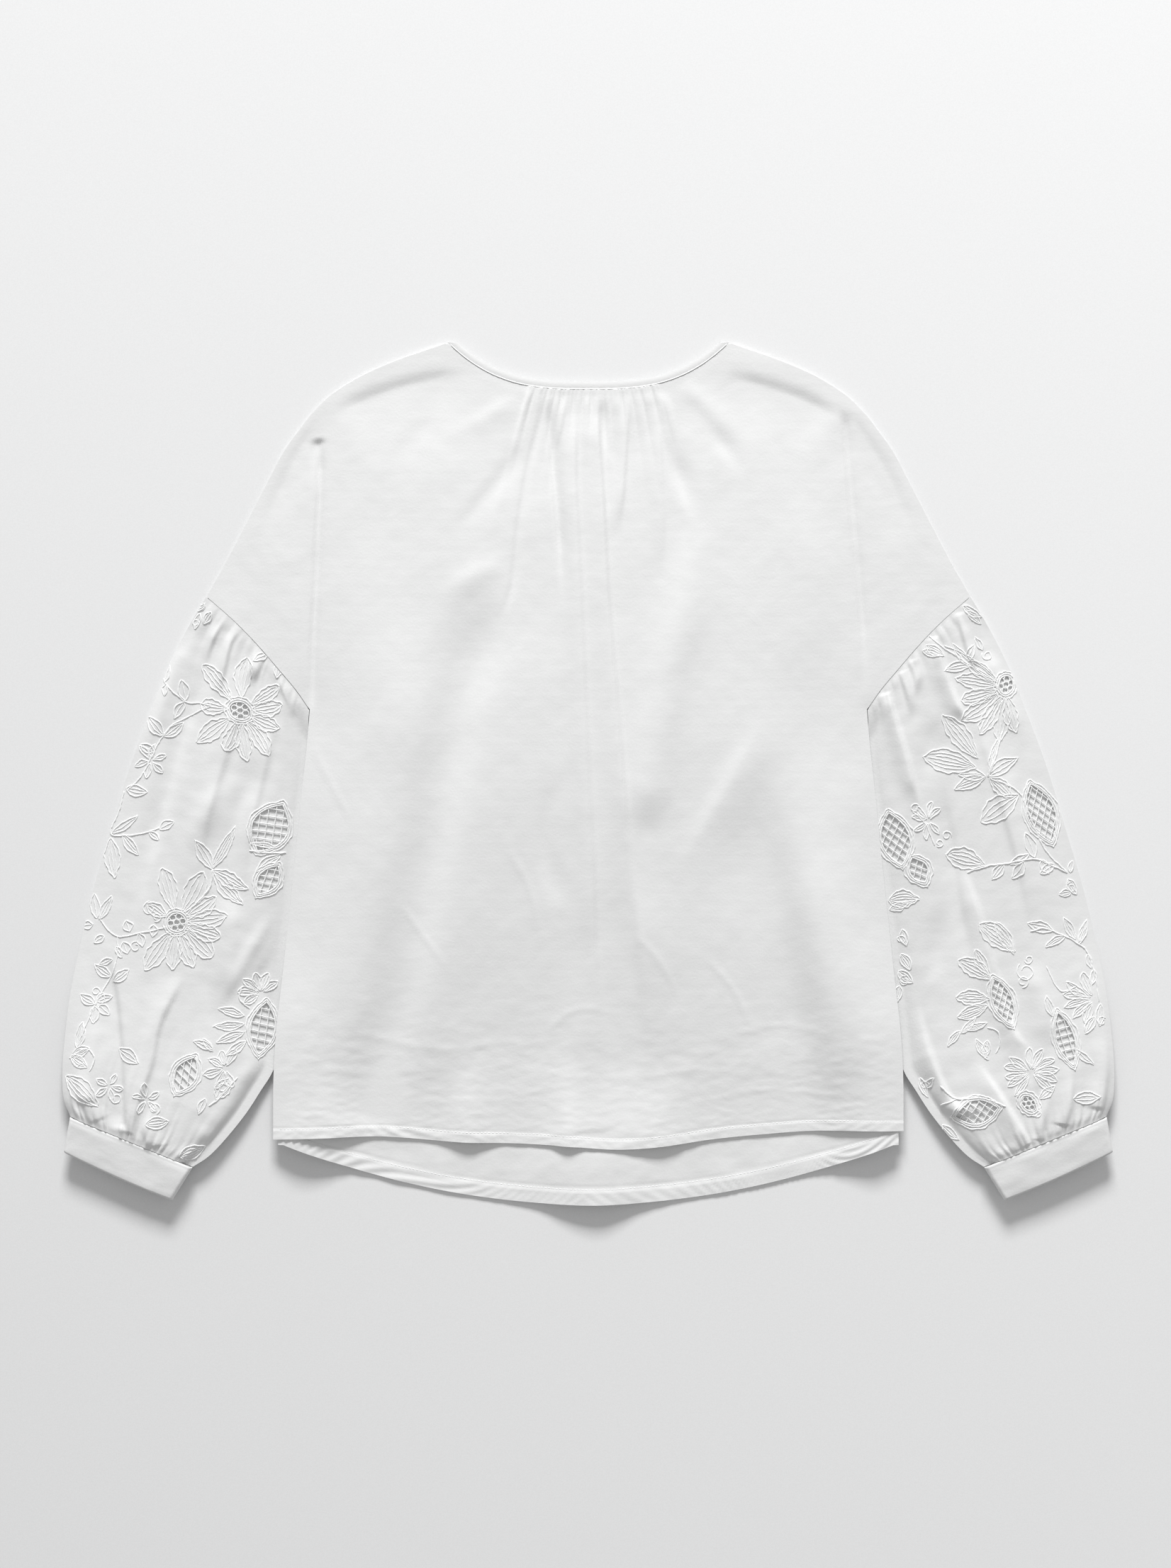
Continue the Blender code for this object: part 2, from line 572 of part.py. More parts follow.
def make_cells(side, collection):
    """One cutter with a square prism for each gap of this sleeve's nets."""
    bm = bmesh.new()
    for net in (net for net in NETS if net.side == side):
        gap = net.pitch - BAR
        for centre, turn in cell_centres(net):
            made = bmesh.ops.create_cube(bm, size=1.0)["verts"]
            bmesh.ops.scale(bm, vec=(gap, gap, CELL_CUT), verts=made)
            cos, sin = np.cos(turn), np.sin(turn)
            for vert in made:
                x, y = vert.co.x, vert.co.y
                vert.co.x = centre[0] + x * cos - y * sin
                vert.co.y = centre[1] + x * sin + y * cos
    bmesh.ops.scale(bm, vec=(MM, MM, MM), verts=bm.verts)
    cutter = new_piece(f"net_gaps_{side_name(side)}", bm, collection)
    cutter.hide_render = True
    cutter.display_type = "WIRE"
    return cutter


def side_name(side):
    """The side's name as seen from above."""
    return "left" if side < 0 else "right"


def make_sleeve_front(side, collection, cutters):
    """Upper wall of a balloon sleeve, gathered into the seam and the cuff, with its nets cut."""
    rows = [0, 0.012, 0.03, 0.055, 0.09, 0.15, 0.25, 0.37, 0.49, 0.61, 0.72, 0.81, 0.86, 0.89,
            0.92, 0.955, 0.982, 1.0]
    columns = 2 * SLEEVE_GATHERS
    last = len(rows) - 1
    bm = index_grid(columns, last)
    refine(bm, 0, columns, 0, 4, 1)
    refine(bm, 0, columns, last - 4, last, 1)

    def place(column, row):
        across = column / columns
        down = np.interp(row, range(len(rows)), rows)
        plan = sleeve_plan(across, down)
        fine = (row <= 4) | (row >= last - 4) | (np.abs(column - np.round(column)) < 1e-3)
        z = sleeve_front_under(side, across, down)
        return side * plan[:, 0], plan[:, 1], np.where(fine, z, z)

    piece = new_piece(f"sleeve_front_{side_name(side)}", make_wall(bm, place), collection)
    cut = piece.modifiers.new("net_gaps", "BOOLEAN")
    cut.operation = "DIFFERENCE"
    cut.solver = "EXACT"
    cut.object = make_cells(side, cutters)
    return piece


def make_sleeve_back(side, collection):
    """Lower wall of a sleeve, flat on the table and rising to the cuff."""
    rows = [0, 0.055, 0.15, 0.25, 0.37, 0.49, 0.61, 0.72, 0.81, 0.86, 0.89, 0.92, 0.955, 1.0]
    columns = 8
    bm = index_grid(columns, len(rows) - 1)

    def place(column, row):
        down = np.interp(row, range(len(rows)), rows)
        plan = sleeve_plan(column / columns, down)
        return side * plan[:, 0], plan[:, 1], sleeve_back_under(down)

    return new_piece(f"sleeve_back_{side_name(side)}", make_wall(bm, place), collection)


def make_cuff(side, collection):
    """A cuff: a flattened tube of doubled cloth, raised a little by the gathers behind it."""
    bm = bmesh.new()
    around = 28
    made = bmesh.ops.create_circle(bm, segments=around, radius=1.0)["verts"]
    angle = {vert: np.arctan2(vert.co.y, vert.co.x) for vert in made}
    half_height = CUFF_HEIGHT / 2

    def set_ring(verts, angles, share):
        outer = np.array(CUFF_TOP_OUT) + (np.array(CUFF_END_OUT) - np.array(CUFF_TOP_OUT)) * share
        inner = np.array(CUFF_TOP_IN) + (np.array(CUFF_END_IN) - np.array(CUFF_TOP_IN)) * share
        half = np.linalg.norm(outer - inner) / 2
        for vert, turn in zip(verts, angles):
            bend = 1.55 * np.arctan2(np.sin(turn), abs(np.cos(turn)))
            bend = np.clip(bend, -np.pi / 2, np.pi / 2)
            flat = (half - half_height) * min(1.0, 1.9 * abs(np.cos(turn)))
            aside = np.sign(np.cos(turn)) * (flat + half_height * np.cos(bend))
            end = (aside / half + 1) / 2
            plan = inner + (outer - inner) * end
            bow = 1.6 * (1 - (2 * end - 1) ** 2) * share
            z = CUFF_LIFT - 0.2 + half_height * (1 + np.sin(bend))
            vert.co = Vector((side * plan[0], plan[1] - bow, z))

    rings = [(made, [angle[vert] for vert in made])]
    for _ in range(3):
        verts, angles = rings[-1]
        edges = [edge for edge in bm.edges if edge.verts[0] in verts and edge.verts[1] in verts]
        grown = bmesh.ops.extrude_edge_only(bm, edges=edges)["geom"]
        new = {vert for vert in grown if isinstance(vert, bmesh.types.BMVert)}
        mates = []
        for vert in verts:
            mates.append(next(edge.other_vert(vert) for edge in vert.link_edges
                              if edge.other_vert(vert) in new))
        rings.append((mates, angles))
    for step, (verts, angles) in enumerate(rings):
        set_ring(verts, angles, step / 3)
    bmesh.ops.scale(bm, vec=(MM, MM, MM), verts=bm.verts)
    piece = new_piece(f"cuff_{side_name(side)}", bm, collection)
    wall = piece.modifiers.new("cloth", "SOLIDIFY")
    wall.thickness = CUFF_WALL * MM
    wall.offset = -1.0
    wall.use_even_offset = True
    return piece


def make_binding(name, marks, drop, under, thick, collection):
    """The narrow strip that binds a neck edge, between its two curves.

    Its columns stand where the panel's do, so that the two edges keep their gap.
    """
    start, gather_from, gather_to, end = marks[1:-1]
    columns, rows = end - start, 2
    bm = index_grid(columns, rows)

    def place(column, row):
        low_x = np.interp(column + start, [start, gather_from, gather_to, end],
                          [-NECK_HALF, GATHER_FROM, GATHER_TO, NECK_HALF])
        slope = 3 * NECK_RISE * low_x**2 / NECK_HALF**3
        low = np.stack([low_x, neck_y(low_x) + SEAM_GAP * np.hypot(1.0, slope)], -1)
        high_x = low_x * BINDING_HALF / NECK_HALF
        high_y = BINDING_LOW + BINDING_RISE * (np.abs(high_x) / BINDING_HALF) ** 3
        plan = low + (np.stack([high_x, high_y], -1) - low) * (row / rows)[:, None]
        x, y = plan[:, 0], plan[:, 1] - drop
        return x, y, under(x, y)

    return new_piece(name, make_wall(bm, place, lambda x, y: np.full_like(x, thick - CLOTH)), collection)


def build():
    """Removes what the file held and makes the blouse."""
    for item in list(bpy.data.objects):
        bpy.data.objects.remove(item)
    blouse = bpy.data.collections.new("embroidered_blouse")
    cutters = bpy.data.collections.new("cutters")
    for collection in (blouse, cutters):
        bpy.context.scene.collection.children.link(collection)
    make_front(blouse)
    make_back(blouse)
    make_binding("neck_binding_front", NECK_MARKS[0], 0.0, front_under, BINDING_THICK, blouse)
    make_binding("neck_binding_back", NECK_MARKS[1], BACK_NECK_DROP, back_under, CLOTH, blouse)
    for side in (-1, 1):
        make_sleeve_front(side, blouse, cutters)
        make_sleeve_back(side, blouse)
        make_cuff(side, blouse)


build()
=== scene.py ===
import logging
import math
from dataclasses import dataclass, field
from enum import Enum
from typing import Callable, Iterable, NamedTuple, Sequence

import bmesh
import bpy
import numpy as np
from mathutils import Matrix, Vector
from mathutils.bvhtree import BVHTree


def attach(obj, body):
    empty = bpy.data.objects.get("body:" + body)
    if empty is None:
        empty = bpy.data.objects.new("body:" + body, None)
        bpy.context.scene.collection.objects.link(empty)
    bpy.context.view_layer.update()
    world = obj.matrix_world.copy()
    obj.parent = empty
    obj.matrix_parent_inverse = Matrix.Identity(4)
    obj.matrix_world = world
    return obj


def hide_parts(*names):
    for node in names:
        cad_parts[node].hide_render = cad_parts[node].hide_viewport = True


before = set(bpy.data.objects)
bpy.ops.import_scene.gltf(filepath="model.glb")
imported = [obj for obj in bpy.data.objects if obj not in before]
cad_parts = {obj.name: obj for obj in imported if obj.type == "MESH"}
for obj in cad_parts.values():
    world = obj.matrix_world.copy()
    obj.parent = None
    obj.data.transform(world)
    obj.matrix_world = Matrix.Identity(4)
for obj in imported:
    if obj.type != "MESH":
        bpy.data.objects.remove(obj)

LOG = logging.getLogger("blouse")
Array = np.ndarray
Place = Callable[[Array, Array], tuple[Array, Array, Array]]

# Every size below is in millimetres unless its name says otherwise
MM = 0.001
CLOTH = 1.0
LAYER = 1.3
TUCK_LIFT = 2.6
TUCK_MARGIN = 8.0
PANEL_ROOM = 3.2
CHEST_ROOM = 5.0
CHEST_TOP = 345.0
CHEST_ROLL = 90.0
CHEST_HALF = 268.0
CHEST_EDGE = 150.0
NECK_ROOM = 1.0
EDGE_ROLL = 64.0
SEAM_HOLD = 14.0
CLOSEST = 0.35
CUFF_ROOM = 4.2
CUFF_LIFT = 6.6
CUFF_HEIGHT = 6.8
NECK_FALL = 110.0
NECK_HALF = 114.0
NECK_LOW = 311.0
NECK_RISE = 38.0
BINDING_HALF = 106.0
BINDING_LOW = 317.4
BINDING_RISE = 31.6
BACK_NECK_DROP = 2.5
GATHER_FROM = -50.0
GATHER_TO = 58.0
GATHERS = 14
GATHER_END = 180.0
FRONT_HEM_CORNER = -292.0
BACK_HEM_CORNER = -300.0
BACK_HEM_LOW = -349.0
BACK_HEM_HALF = 250.0
HEM_REACH = -200.0
FRONT_HEM_BAND = 8.0
BACK_HEM_BAND = 12.5
SEAM_OFFSET = 0.3
SLEEVE_LENGTH = 420.0
SLEEVE_FOLDS = 1.8
BALLOON = ((0.0, PANEL_ROOM), (0.14, 4.2), (0.35, 4.8), (0.7, 5.6), (0.88, 6.0), (0.94, 5.2),
           (1.0, CUFF_ROOM))
BALLOON_EDGE = ((0.0, EDGE_ROLL), (0.7, 58.0), (0.9, 38.0), (1.0, 14.0))
HOLE_DEPTH = 1.25
SHORTEST_THREAD = 1.0


class Point(NamedTuple):
    """A point of an outline, seen from above."""

    x: float
    y: float


class Ridge(NamedTuple):
    """A soft fold along a line that runs down the cloth: its height, how far it falls away on
    the left and on the right as seen from above, and the shares over which its ends fade."""

    points: tuple[tuple[float, float], ...]
    height: float
    left: float
    right: float
    head: float = 0.15
    tail: float = 0.3


class Lift(NamedTuple):
    """A part of a hem that stands up: where its middle is, how wide and how high it is, below
    which y it starts and how far down it takes to rise."""

    x: float
    width: float
    height: float
    start: float = 0.0
    fall: float = 1.0

    def spread(self, x: Array) -> Array:
        """How far along the hem a point is from the middle, in widths, squared."""
        return ((x - self.x) / self.width) ** 2

    def rise(self, x: Array, y: Array) -> Array:
        """Height of the cloth over where it would lie flat."""
        return self.height * np.exp(-self.spread(x)) * smooth((self.start - y) / self.fall)


class Step(NamedTuple):
    """A soft change along a length: where it starts and how far it takes, below 0 if downward."""

    start: float
    reach: float

    def at(self, value: Array) -> Array:
        """Share of the change, from 0 before it to 1 after it."""
        return smooth((value - self.start) / self.reach)


class Swell(NamedTuple):
    """Soft unevenness of the cloth: its height, the draw that it comes from, its usual length,
    and how far it runs crosswise."""

    height: float
    seed: int
    length: float
    flat: float = 1.0

    def at(self, x: Array, y: Array, shift: int = 0) -> Array:
        """The swell's height at these points; the shift picks another draw."""
        return self.height * waves(x, y, self.seed + shift, self.length, self.flat)


class Puckers(NamedTuple):
    """The slanting puckers of a stitched hem: how far apart they are, how much and over what
    length this changes, how they lean, and where up the hem they are strongest."""

    pitch: float
    change: float
    over: float
    lean: float
    middle: float
    width: float

    def at(self, x: Array, band: Array, way: Array | float = 1.0) -> Array:
        """The puckers' shape along the hem and up from its edge, from -1 to 1.

        Args:
            x: points' x.
            band: heights above the hem's edge.
            way: -1 where they lean the other way.

        Returns:
            The shape at each point.
        """
        pitch = self.pitch + self.change * np.sin(x / self.over)
        rope = np.sin((x * way + band * self.lean) * 2 * math.pi / pitch)
        return rope * np.exp(-(((band - self.middle) / self.width) ** 2))


class Side(Enum):
    """The blouse's two sides as seen from above."""

    LEFT = -1
    RIGHT = 1

    @property
    def word(self) -> str:
        """The side's name in the names of pieces."""
        return self.name.lower()


SHOULDER = [
    Point(114, 349), Point(145, 338.3), Point(168, 329.3), Point(188, 319.6),
    Point(209, 306), Point(224, 291.3), Point(235, 277), Point(247, 260),
    Point(262, 231.5), Point(279, 198.5), Point(294, 170), Point(309, 143.5),
]
FOLD_ROW, ARM_ROW, SEAM_ROW = 4, 8, 11
SEAM = [
    Point(309, 143.5), Point(291, 128), Point(277.5, 115), Point(264.5, 101),
    Point(249.5, 83.5), Point(236.5, 68), Point(225.4, 52),
]
SIDE = [
    Point(225.4, 52), Point(228, 21), Point(231.5, -12), Point(238.5, -80),
    Point(247.5, -164), Point(252, -205), Point(254.4, -245), Point(254.6, -296),
]
SLEEVE_OUTER = [
    Point(309.3, 143.1), Point(321, 124), Point(331, 106), Point(341, 85),
    Point(351, 60), Point(367, 18), Point(376.5, -10.5), Point(385.5, -41),
    Point(395.5, -74), Point(404, -105), Point(413.5, -148), Point(419.5, -180),
    Point(423, -210), Point(425, -238), Point(424, -262), Point(418.5, -277),
]
SLEEVE_INNER = [
    Point(225.9, 51.5), Point(226.6, 37), Point(223.5, 16), Point(219.5, -10),
    Point(221, -50), Point(227, -100), Point(234, -150), Point(241, -190),
    Point(248, -219), Point(255.5, -241), Point(265, -256.5), Point(277, -275),
    Point(293, -295), Point(306.5, -309), Point(319.5, -317.7),
]
CUFF_TOP_OUT = Point(418.7, -277.6)
CUFF_TOP_IN = Point(319.7, -318.3)
CUFF_END_OUT = Point(423.6, -305.5)
CUFF_END_IN = Point(336, -344.5)
FRONT_HEM = [
    Point(-254.6, -295.5), Point(-184, -293.8), Point(-156, -294.4), Point(-105, -298.3),
    Point(-56, -299.5), Point(-12, -301.7), Point(26, -304), Point(61, -301.7),
    Point(102, -296), Point(143, -292), Point(188, -289), Point(254.6, -288.6),
]

# The parts of the hems that stand off what lies under them
CORNER_LIFT = Lift(236, 33, 10.5, -120, 190)
TAIL_LIFT = Lift(4, 38, 8.4, -222, 108)
FRONT_HEM_WAVES = (
    Lift(-206, 20, 4.2), Lift(-98, 17, 4.2), Lift(-17, 10, 3.4), Lift(57, 22, 4.0),
    Lift(198, 16, 0.8),
)
HEM_WAVE_RISE = 50.0
HEM_CLOSE = 290.0
FRONT_PUCKERS = Puckers(9, 2.5, 37, 0.8, FRONT_HEM_BAND / 2, 3.4)
BACK_PUCKERS = Puckers(11, 3, 41, 1.3, 6, 5)
FRONT_STITCHED = 250.0
BACK_STITCHED = 241.0

# Where the body lies over the sleeves' tucked edges, and where its room and folds change
TUCK_HEAD, TUCK_FOOT, TUCK_SIDE = Step(51, -90), Step(-276, 80), Step(17, 70)
UNDERARM, UNDERARM_ROOM = Step(-70, 120), 0.6
BESIDE_NECK = 40.0
NECK_HOLD = 7.0
FOLD_FADE = 96.0
FOLD_KEPT, RIGHT_FOLD_KEPT, RIGHT_FOLD = 0.3, 0.35, Step(150, 40)

# The cloth's soft unevenness, apart from its folds
FRONT_SWELLS = (Swell(0.22, 5, 60), Swell(0.07, 8, 17))
ABOVE_HEM, ABOVE_HEM_SWELLS = Step(-150, -90), (Swell(0.12, 21, 26, 3.4), Swell(0.08, 22, 12, 2.6))
TAIL, TAIL_SWELLS = Step(-262, -30), (Swell(0.25, 31, 46), Swell(0.1, 32, 16, 1.8))
SLEEVE_SWELL, SLEEVE_CREASE = Swell(0.36, 40, 40), Swell(0.18, 47, 19)
SLEEVE_WRINKLE = Swell(0.12, 49, 17)
CUFF_CREASE, CUFF_WRINKLE = Swell(0.55, 90, 34), Swell(0.16, 91, 12)

# How open edges turn over: how far in and how far down at each turn
FRONT_RIM = ((0.15, 0.45), (0.6, 0.5), (1.4, 0.3))
BACK_RIM = ((0.1, 0.4), (0.4, 0.5), (1.2, 0.1))
SLEEVE_RIM = ((0.15, 0.45), (0.5, 0.6), (1.4, 0.3))
SLEEVE_BACK_RIM = ((0.1, 0.4), (0.4, 0.5))
NECK_RIM = ((0.1, 0.4), (0.5, 0.6))

# The front's folds, from the largest to small creases; a valley has a height below 0
FRONT_RIDGES = [
    Ridge(((6, 306), (8, 262), (11, 217), (15, 140), (20, 80), (27, 0), (32, -60), (46, -175)),
          3.2, 16, 2.5, 0.12, 0.3),
    Ridge(((-12, 302), (-12, 240), (-9, 170), (-4, 50), (1, -60), (4, -140), (13, -262)),
          3, 12, 3.4, 0.12, 0.25),
    Ridge(((-33, 303), (-31, 270), (-27, 230), (-24, 190), (-20, 132)), -2.3, 2, 6, 0.25, 0.3),
    Ridge(((-38, 304), (-40, 284), (-49, 248), (-57, 197), (-62, 151), (-72, 122)),
          -0.9, 2.6, 4, 0.25, 0.2),
    Ridge(((32, 306), (31, 280), (28, 236), (24, 196)), 1.5, 6, 1.9, 0.35, 0.25),
    Ridge(((56, 304), (58, 248), (60, 200), (58, 156)), 1.3, 10, 2.2, 0.3, 0.4),
    Ridge(((60, 312), (66, 292), (71, 266)), 1.3, 4, 2, 0.4, 0.4),
    Ridge(((74, 318), (98, 294), (124, 262)), 1.1, 6, 9, 0.3, 0.5),
    Ridge(((-19, 307), (-22, 285), (-26, 262)), 1.2, 4, 1.8, 0.4, 0.4),
    Ridge(((12, 304), (12, 284), (14, 252)), -1.5, 3.4, 4, 0.5, 0.5),
    Ridge(((-74, 152), (-88, 118), (-103, 70), (-122, -34), (-140, -125), (-160, -225),
           (-172, -290)),
          -4.8, 25, 19, 0.3, 0.04),
    Ridge(((-106, 128), (-141, 40), (-160, -50), (-184, -150), (-212, -290)),
          3.2, 40, 24, 0.3, 0.2),
    Ridge(((-56, 132), (-80, 40), (-100, -50), (-120, -150), (-146, -290)), 2, 15, 36, 0.25, 0.25),
    Ridge(((-60, 172), (-82, 165), (-104, 152), (-120, 134)), 1.2, 9, 10, 0.4, 0.5),
    Ridge(((-46, 274), (-68, 244), (-90, 216), (-122, 180)), -1.2, 6.5, 9, 0.35, 0.5),
    Ridge(((-54, 306), (-84, 288), (-124, 266)), 0.9, 6, 10, 0.3, 0.5),
    Ridge(((-120, 292), (-142, 270), (-160, 244)), -0.7, 10, 12, 0.3, 0.4),
    Ridge(((-175, 210), (-180, 100), (-176, -6)), 1.8, 28, 28, 0.6, 0.4),
    Ridge(((150, 30), (167, -40), (183, -100), (196, -170), (205, -230), (213, -292), (224, -380)),
          8.2, 24, 34, 0.5, 0.5),
    Ridge(((126, 34), (138, -40), (153, -120), (168, -210), (188, -360)), -4.6, 46, 22, 0.4, 0.3),
    Ridge(((132, -30), (142, -110), (152, -200), (162, -290)), 3.4, 62, 60, 0.6, 0.25),
    Ridge(((-146, -30), (-152, -110), (-162, -200), (-172, -290)), 2.8, 60, 60, 0.6, 0.25),
    Ridge(((156, 66), (128, 14), (104, -30), (66, -92)), 2.4, 10, 22, 0.5, 0.4),
    Ridge(((94, 214), (80, 150), (66, 80), (52, 4), (44, -50)), 3.8, 17, 17, 0.4, 0.2),
    Ridge(((38, -70), (46, -160), (56, -286)), 2.6, 7, 26, 0.4, 0.6),
    Ridge(((-30, 10), (-34, -60), (-22, -112)), -1.4, 8, 9, 0.4, 0.3),
    Ridge(((-4, -130), (2, -220), (8, -292)), 3, 22, 13, 0.5, 0.04),
    Ridge(((98, 288), (112, 264), (128, 236)), -1.3, 6, 8, 0.5, 0.5),
    Ridge(((64, 274), (75, 240), (86, 204)), -2.2, 6, 9, 0.5, 0.5),
    Ridge(((172, 240), (176, 150), (170, 60)), 1.6, 26, 26, 0.4, 0.4),
    Ridge(((-90, 323), (-130, 317), (-170, 306), (-207, 289)), -2, 7, 40, 0.35, 0.25),
    Ridge(((92, 322), (126, 317), (157, 308), (182, 298), (206, 284)), -2, 40, 7, 0.35, 0.25),
    Ridge(((-217, 268), (-219, 200), (-223, 100), (-225, 30)), -2.6, 2.2, 4, 0.12, 0.3),
    Ridge(((-218, 272), (-219, 257), (-220, 222)), -2.8, 4.6, 3.8, 0.2, 0.8),
    Ridge(((-200, 304), (-226, 274), (-243, 242), (-257, 210), (-270, 180)), -1.1, 7, 24, 0.3, 0.5),
    Ridge(((198, 302), (222, 274), (241, 242), (256, 208), (268, 180)), -1.1, 24, 7, 0.3, 0.5),
    Ridge(((206, 296), (211, 240), (219, 150), (226, 62)), -2.2, 2.2, 4, 0.1, 0.3),
    Ridge(((-226, 27), (-207, -10), (-190, -40)), 0.45, 1.8, 1.8),
    Ridge(((-152, -106), (-133, -132), (-112, -160)), 0.45, 1.8, 1.8),
    Ridge(((-196, -208), (-120, -222), (-40, -214)), 0.26, 2.6, 2.2),
    Ridge(((-190, -262), (-120, -266), (-50, -258)), 0.3, 2.6, 2),
    Ridge(((-60, -240), (20, -247), (90, -240), (150, -246)), 0.28, 2.2, 2.8),
    Ridge(((96, -262), (150, -256), (214, -262)), 0.3, 2.4, 2.4),
    Ridge(((-222, -238), (-170, -244), (-110, -236)), 0.24, 2.2, 3),
    Ridge(((38, -130), (58, -152), (74, -182)), 0.42, 2.4, 2),
    Ridge(((-36, -210), (-8, -190), (30, -196)), 0.26, 2.4, 2),
    Ridge(((120, -210), (160, -204), (206, -214)), 0.26, 2.4, 2.4),
    Ridge(((-66, -60), (-48, -92), (-40, -130)), 0.45, 2, 2.2),
    Ridge(((96, -150), (118, -176), (132, -208)), 0.45, 2, 2.2),
]

# The sleeves' folds, each on its own side
SLEEVE_RIDGES = {
    Side.LEFT: [
        Ridge(((-290, 131), (-303, 111), (-312, 84)), 1.6, 4, 2, 0.02, 0.5),
        Ridge(((-278, 120), (-289, 107), (-295, 84), (-300, 60)), 1.8, 5, 2, 0.02, 0.4),
        Ridge(((-271, 113), (-270, 97), (-274, 76)), 1.6, 2, 6, 0.02, 0.4),
        Ridge(((-260, 101), (-267, 86), (-273, 70)), 1.6, 5, 2, 0.02, 0.5),
        Ridge(((-248, 87), (-248, 72), (-240, 52)), 1.4, 2, 6, 0.02, 0.5),
        Ridge(((-236, 70), (-238, 60), (-240, 44)), 1.2, 4, 4, 0.02, 0.5),
        Ridge(((-283, 4), (-303, -26), (-322, -62)), 1.5, 9, 14, 0.5, 0.5),
        Ridge(((-262, 20), (-272, -10), (-290, -44)), -1.1, 9, 9, 0.5, 0.5),
        Ridge(((-304, 104), (-328, 34), (-350, -46), (-371, -126)), -1.5, 10, 5, 0.3, 0.4),
        Ridge(((-272, 92), (-290, 30), (-310, -40), (-322, -110)), 1.3, 12, 4, 0.4, 0.4),
        Ridge(((-250, 62), (-262, 8), (-276, -56), (-284, -126)), 1.2, 9, 3.5, 0.4, 0.5),
        Ridge(((-330, 110), (-346, 60), (-362, 10)), 1.4, 10, 8, 0.2, 0.4),
        Ridge(((-391, -140), (-383, -180), (-379, -215), (-377, -250), (-375, -290)),
              -1.7, 11, 2.6, 0.3, 0.05),
        Ridge(((-326, -160), (-346, -200), (-353, -234), (-363, -262), (-370, -292)),
              1.5, 9, 2.4, 0.2, 0.03),
        Ridge(((-286, -96), (-289, -140), (-294, -184)), 1.6, 14, 7, 0.3, 0.3),
        Ridge(((-250, -104), (-270, -138), (-288, -170), (-306, -196)), 1.1, 6, 5, 0.4, 0.5),
        Ridge(((-245, -128), (-266, -170), (-280, -206)), -0.9, 6, 8, 0.4, 0.5),
        Ridge(((-338, -250), (-356, -284), (-354, -302)), 1.8, 2.6, 9, 0.7, 0.03),
        Ridge(((-264, -222), (-285, -268), (-312, -304)), 1.8, 9, 11, 0.3, 0.15),
        Ridge(((-398, -180), (-402, -228), (-404, -268)), 1.4, 9, 7, 0.6, 0.1),
        Ridge(((-412, -230), (-408, -258), (-398, -282)), 1.4, 5, 8, 0.6, 0.05),
    ],
    Side.RIGHT: [
        Ridge(((299, 130), (307, 101), (313, 84)), 1.5, 2, 6, 0.02, 0.4),
        Ridge(((280, 111), (287, 84), (297, 58), (306, 42)), 1.9, 8, 2.2, 0.02, 0.3),
        Ridge(((262, 92), (266, 78), (264, 60)), 1.2, 3, 4, 0.02, 0.5),
        Ridge(((241, 66), (248, 42), (257, 12), (262, -8), (268, -30)), 1.9, 8, 2.2, 0.02, 0.3),
        Ridge(((252, 82), (258, 66), (262, 46)), 1.2, 2, 5, 0.02, 0.5),
        Ridge(((276, 52), (280, 20), (272, -18)), -1, 10, 10, 0.5, 0.5),
        Ridge(((322, 100), (338, 60), (352, 20)), 1.2, 9, 8, 0.2, 0.4),
        Ridge(((312, 52), (330, -6), (350, -76), (362, -136)), 1.3, 3.5, 12, 0.4, 0.4),
        Ridge(((280, 6), (292, -50), (300, -110), (312, -160)), -1.2, 10, 4.5, 0.4, 0.4),
        Ridge(((302, -74), (312, -104), (325, -150), (341, -206), (360, -226)),
              1.9, 12, 2.4, 0.3, 0.35),
        Ridge(((264, -180), (274, -222), (288, -258), (305, -278)), 1.9, 10, 2.6, 0.4, 0.4),
        Ridge(((310, -230), (327, -254), (346, -284), (355, -300)), 1.9, 10, 2.4, 0.5, 0.03),
        Ridge(((282, -102), (283, -138), (279, -174)), -1, 9, 11, 0.5, 0.5),
        Ridge(((390, -232), (388, -262), (384, -284)), 1.5, 7, 3, 0.6, 0.03),
        Ridge(((416, -200), (418, -238), (412, -272)), 1.4, 8, 4, 0.5, 0.05),
        Ridge(((352, -150), (366, -186), (372, -222)), 1.3, 10, 10, 0.3, 0.3),
        Ridge(((270, -252), (284, -268), (302, -272), (320, -266)), 1.5, 3, 6, 0.2, 0.3),
        Ridge(((268, -262), (286, -288), (308, -308)), 1.4, 5, 5, 0.6, 0.1),
        Ridge(((372, -250), (366, -276), (364, -296)), 1.4, 5, 4, 0.6, 0.03),
    ],
}


def smooth(share: Array | float) -> Array:
    """A soft step from 0 to 1."""
    share = np.clip(share, 0.0, 1.0)
    return share * share * (3.0 - 2.0 * share)


def roll(distance: Array, width: float = 26.0) -> Array:
    """How far cloth has risen at this distance in from a joined edge, from 0 to 1."""
    share = np.clip(distance / width, 0.0, 1.0)
    return share * (2.0 - share)


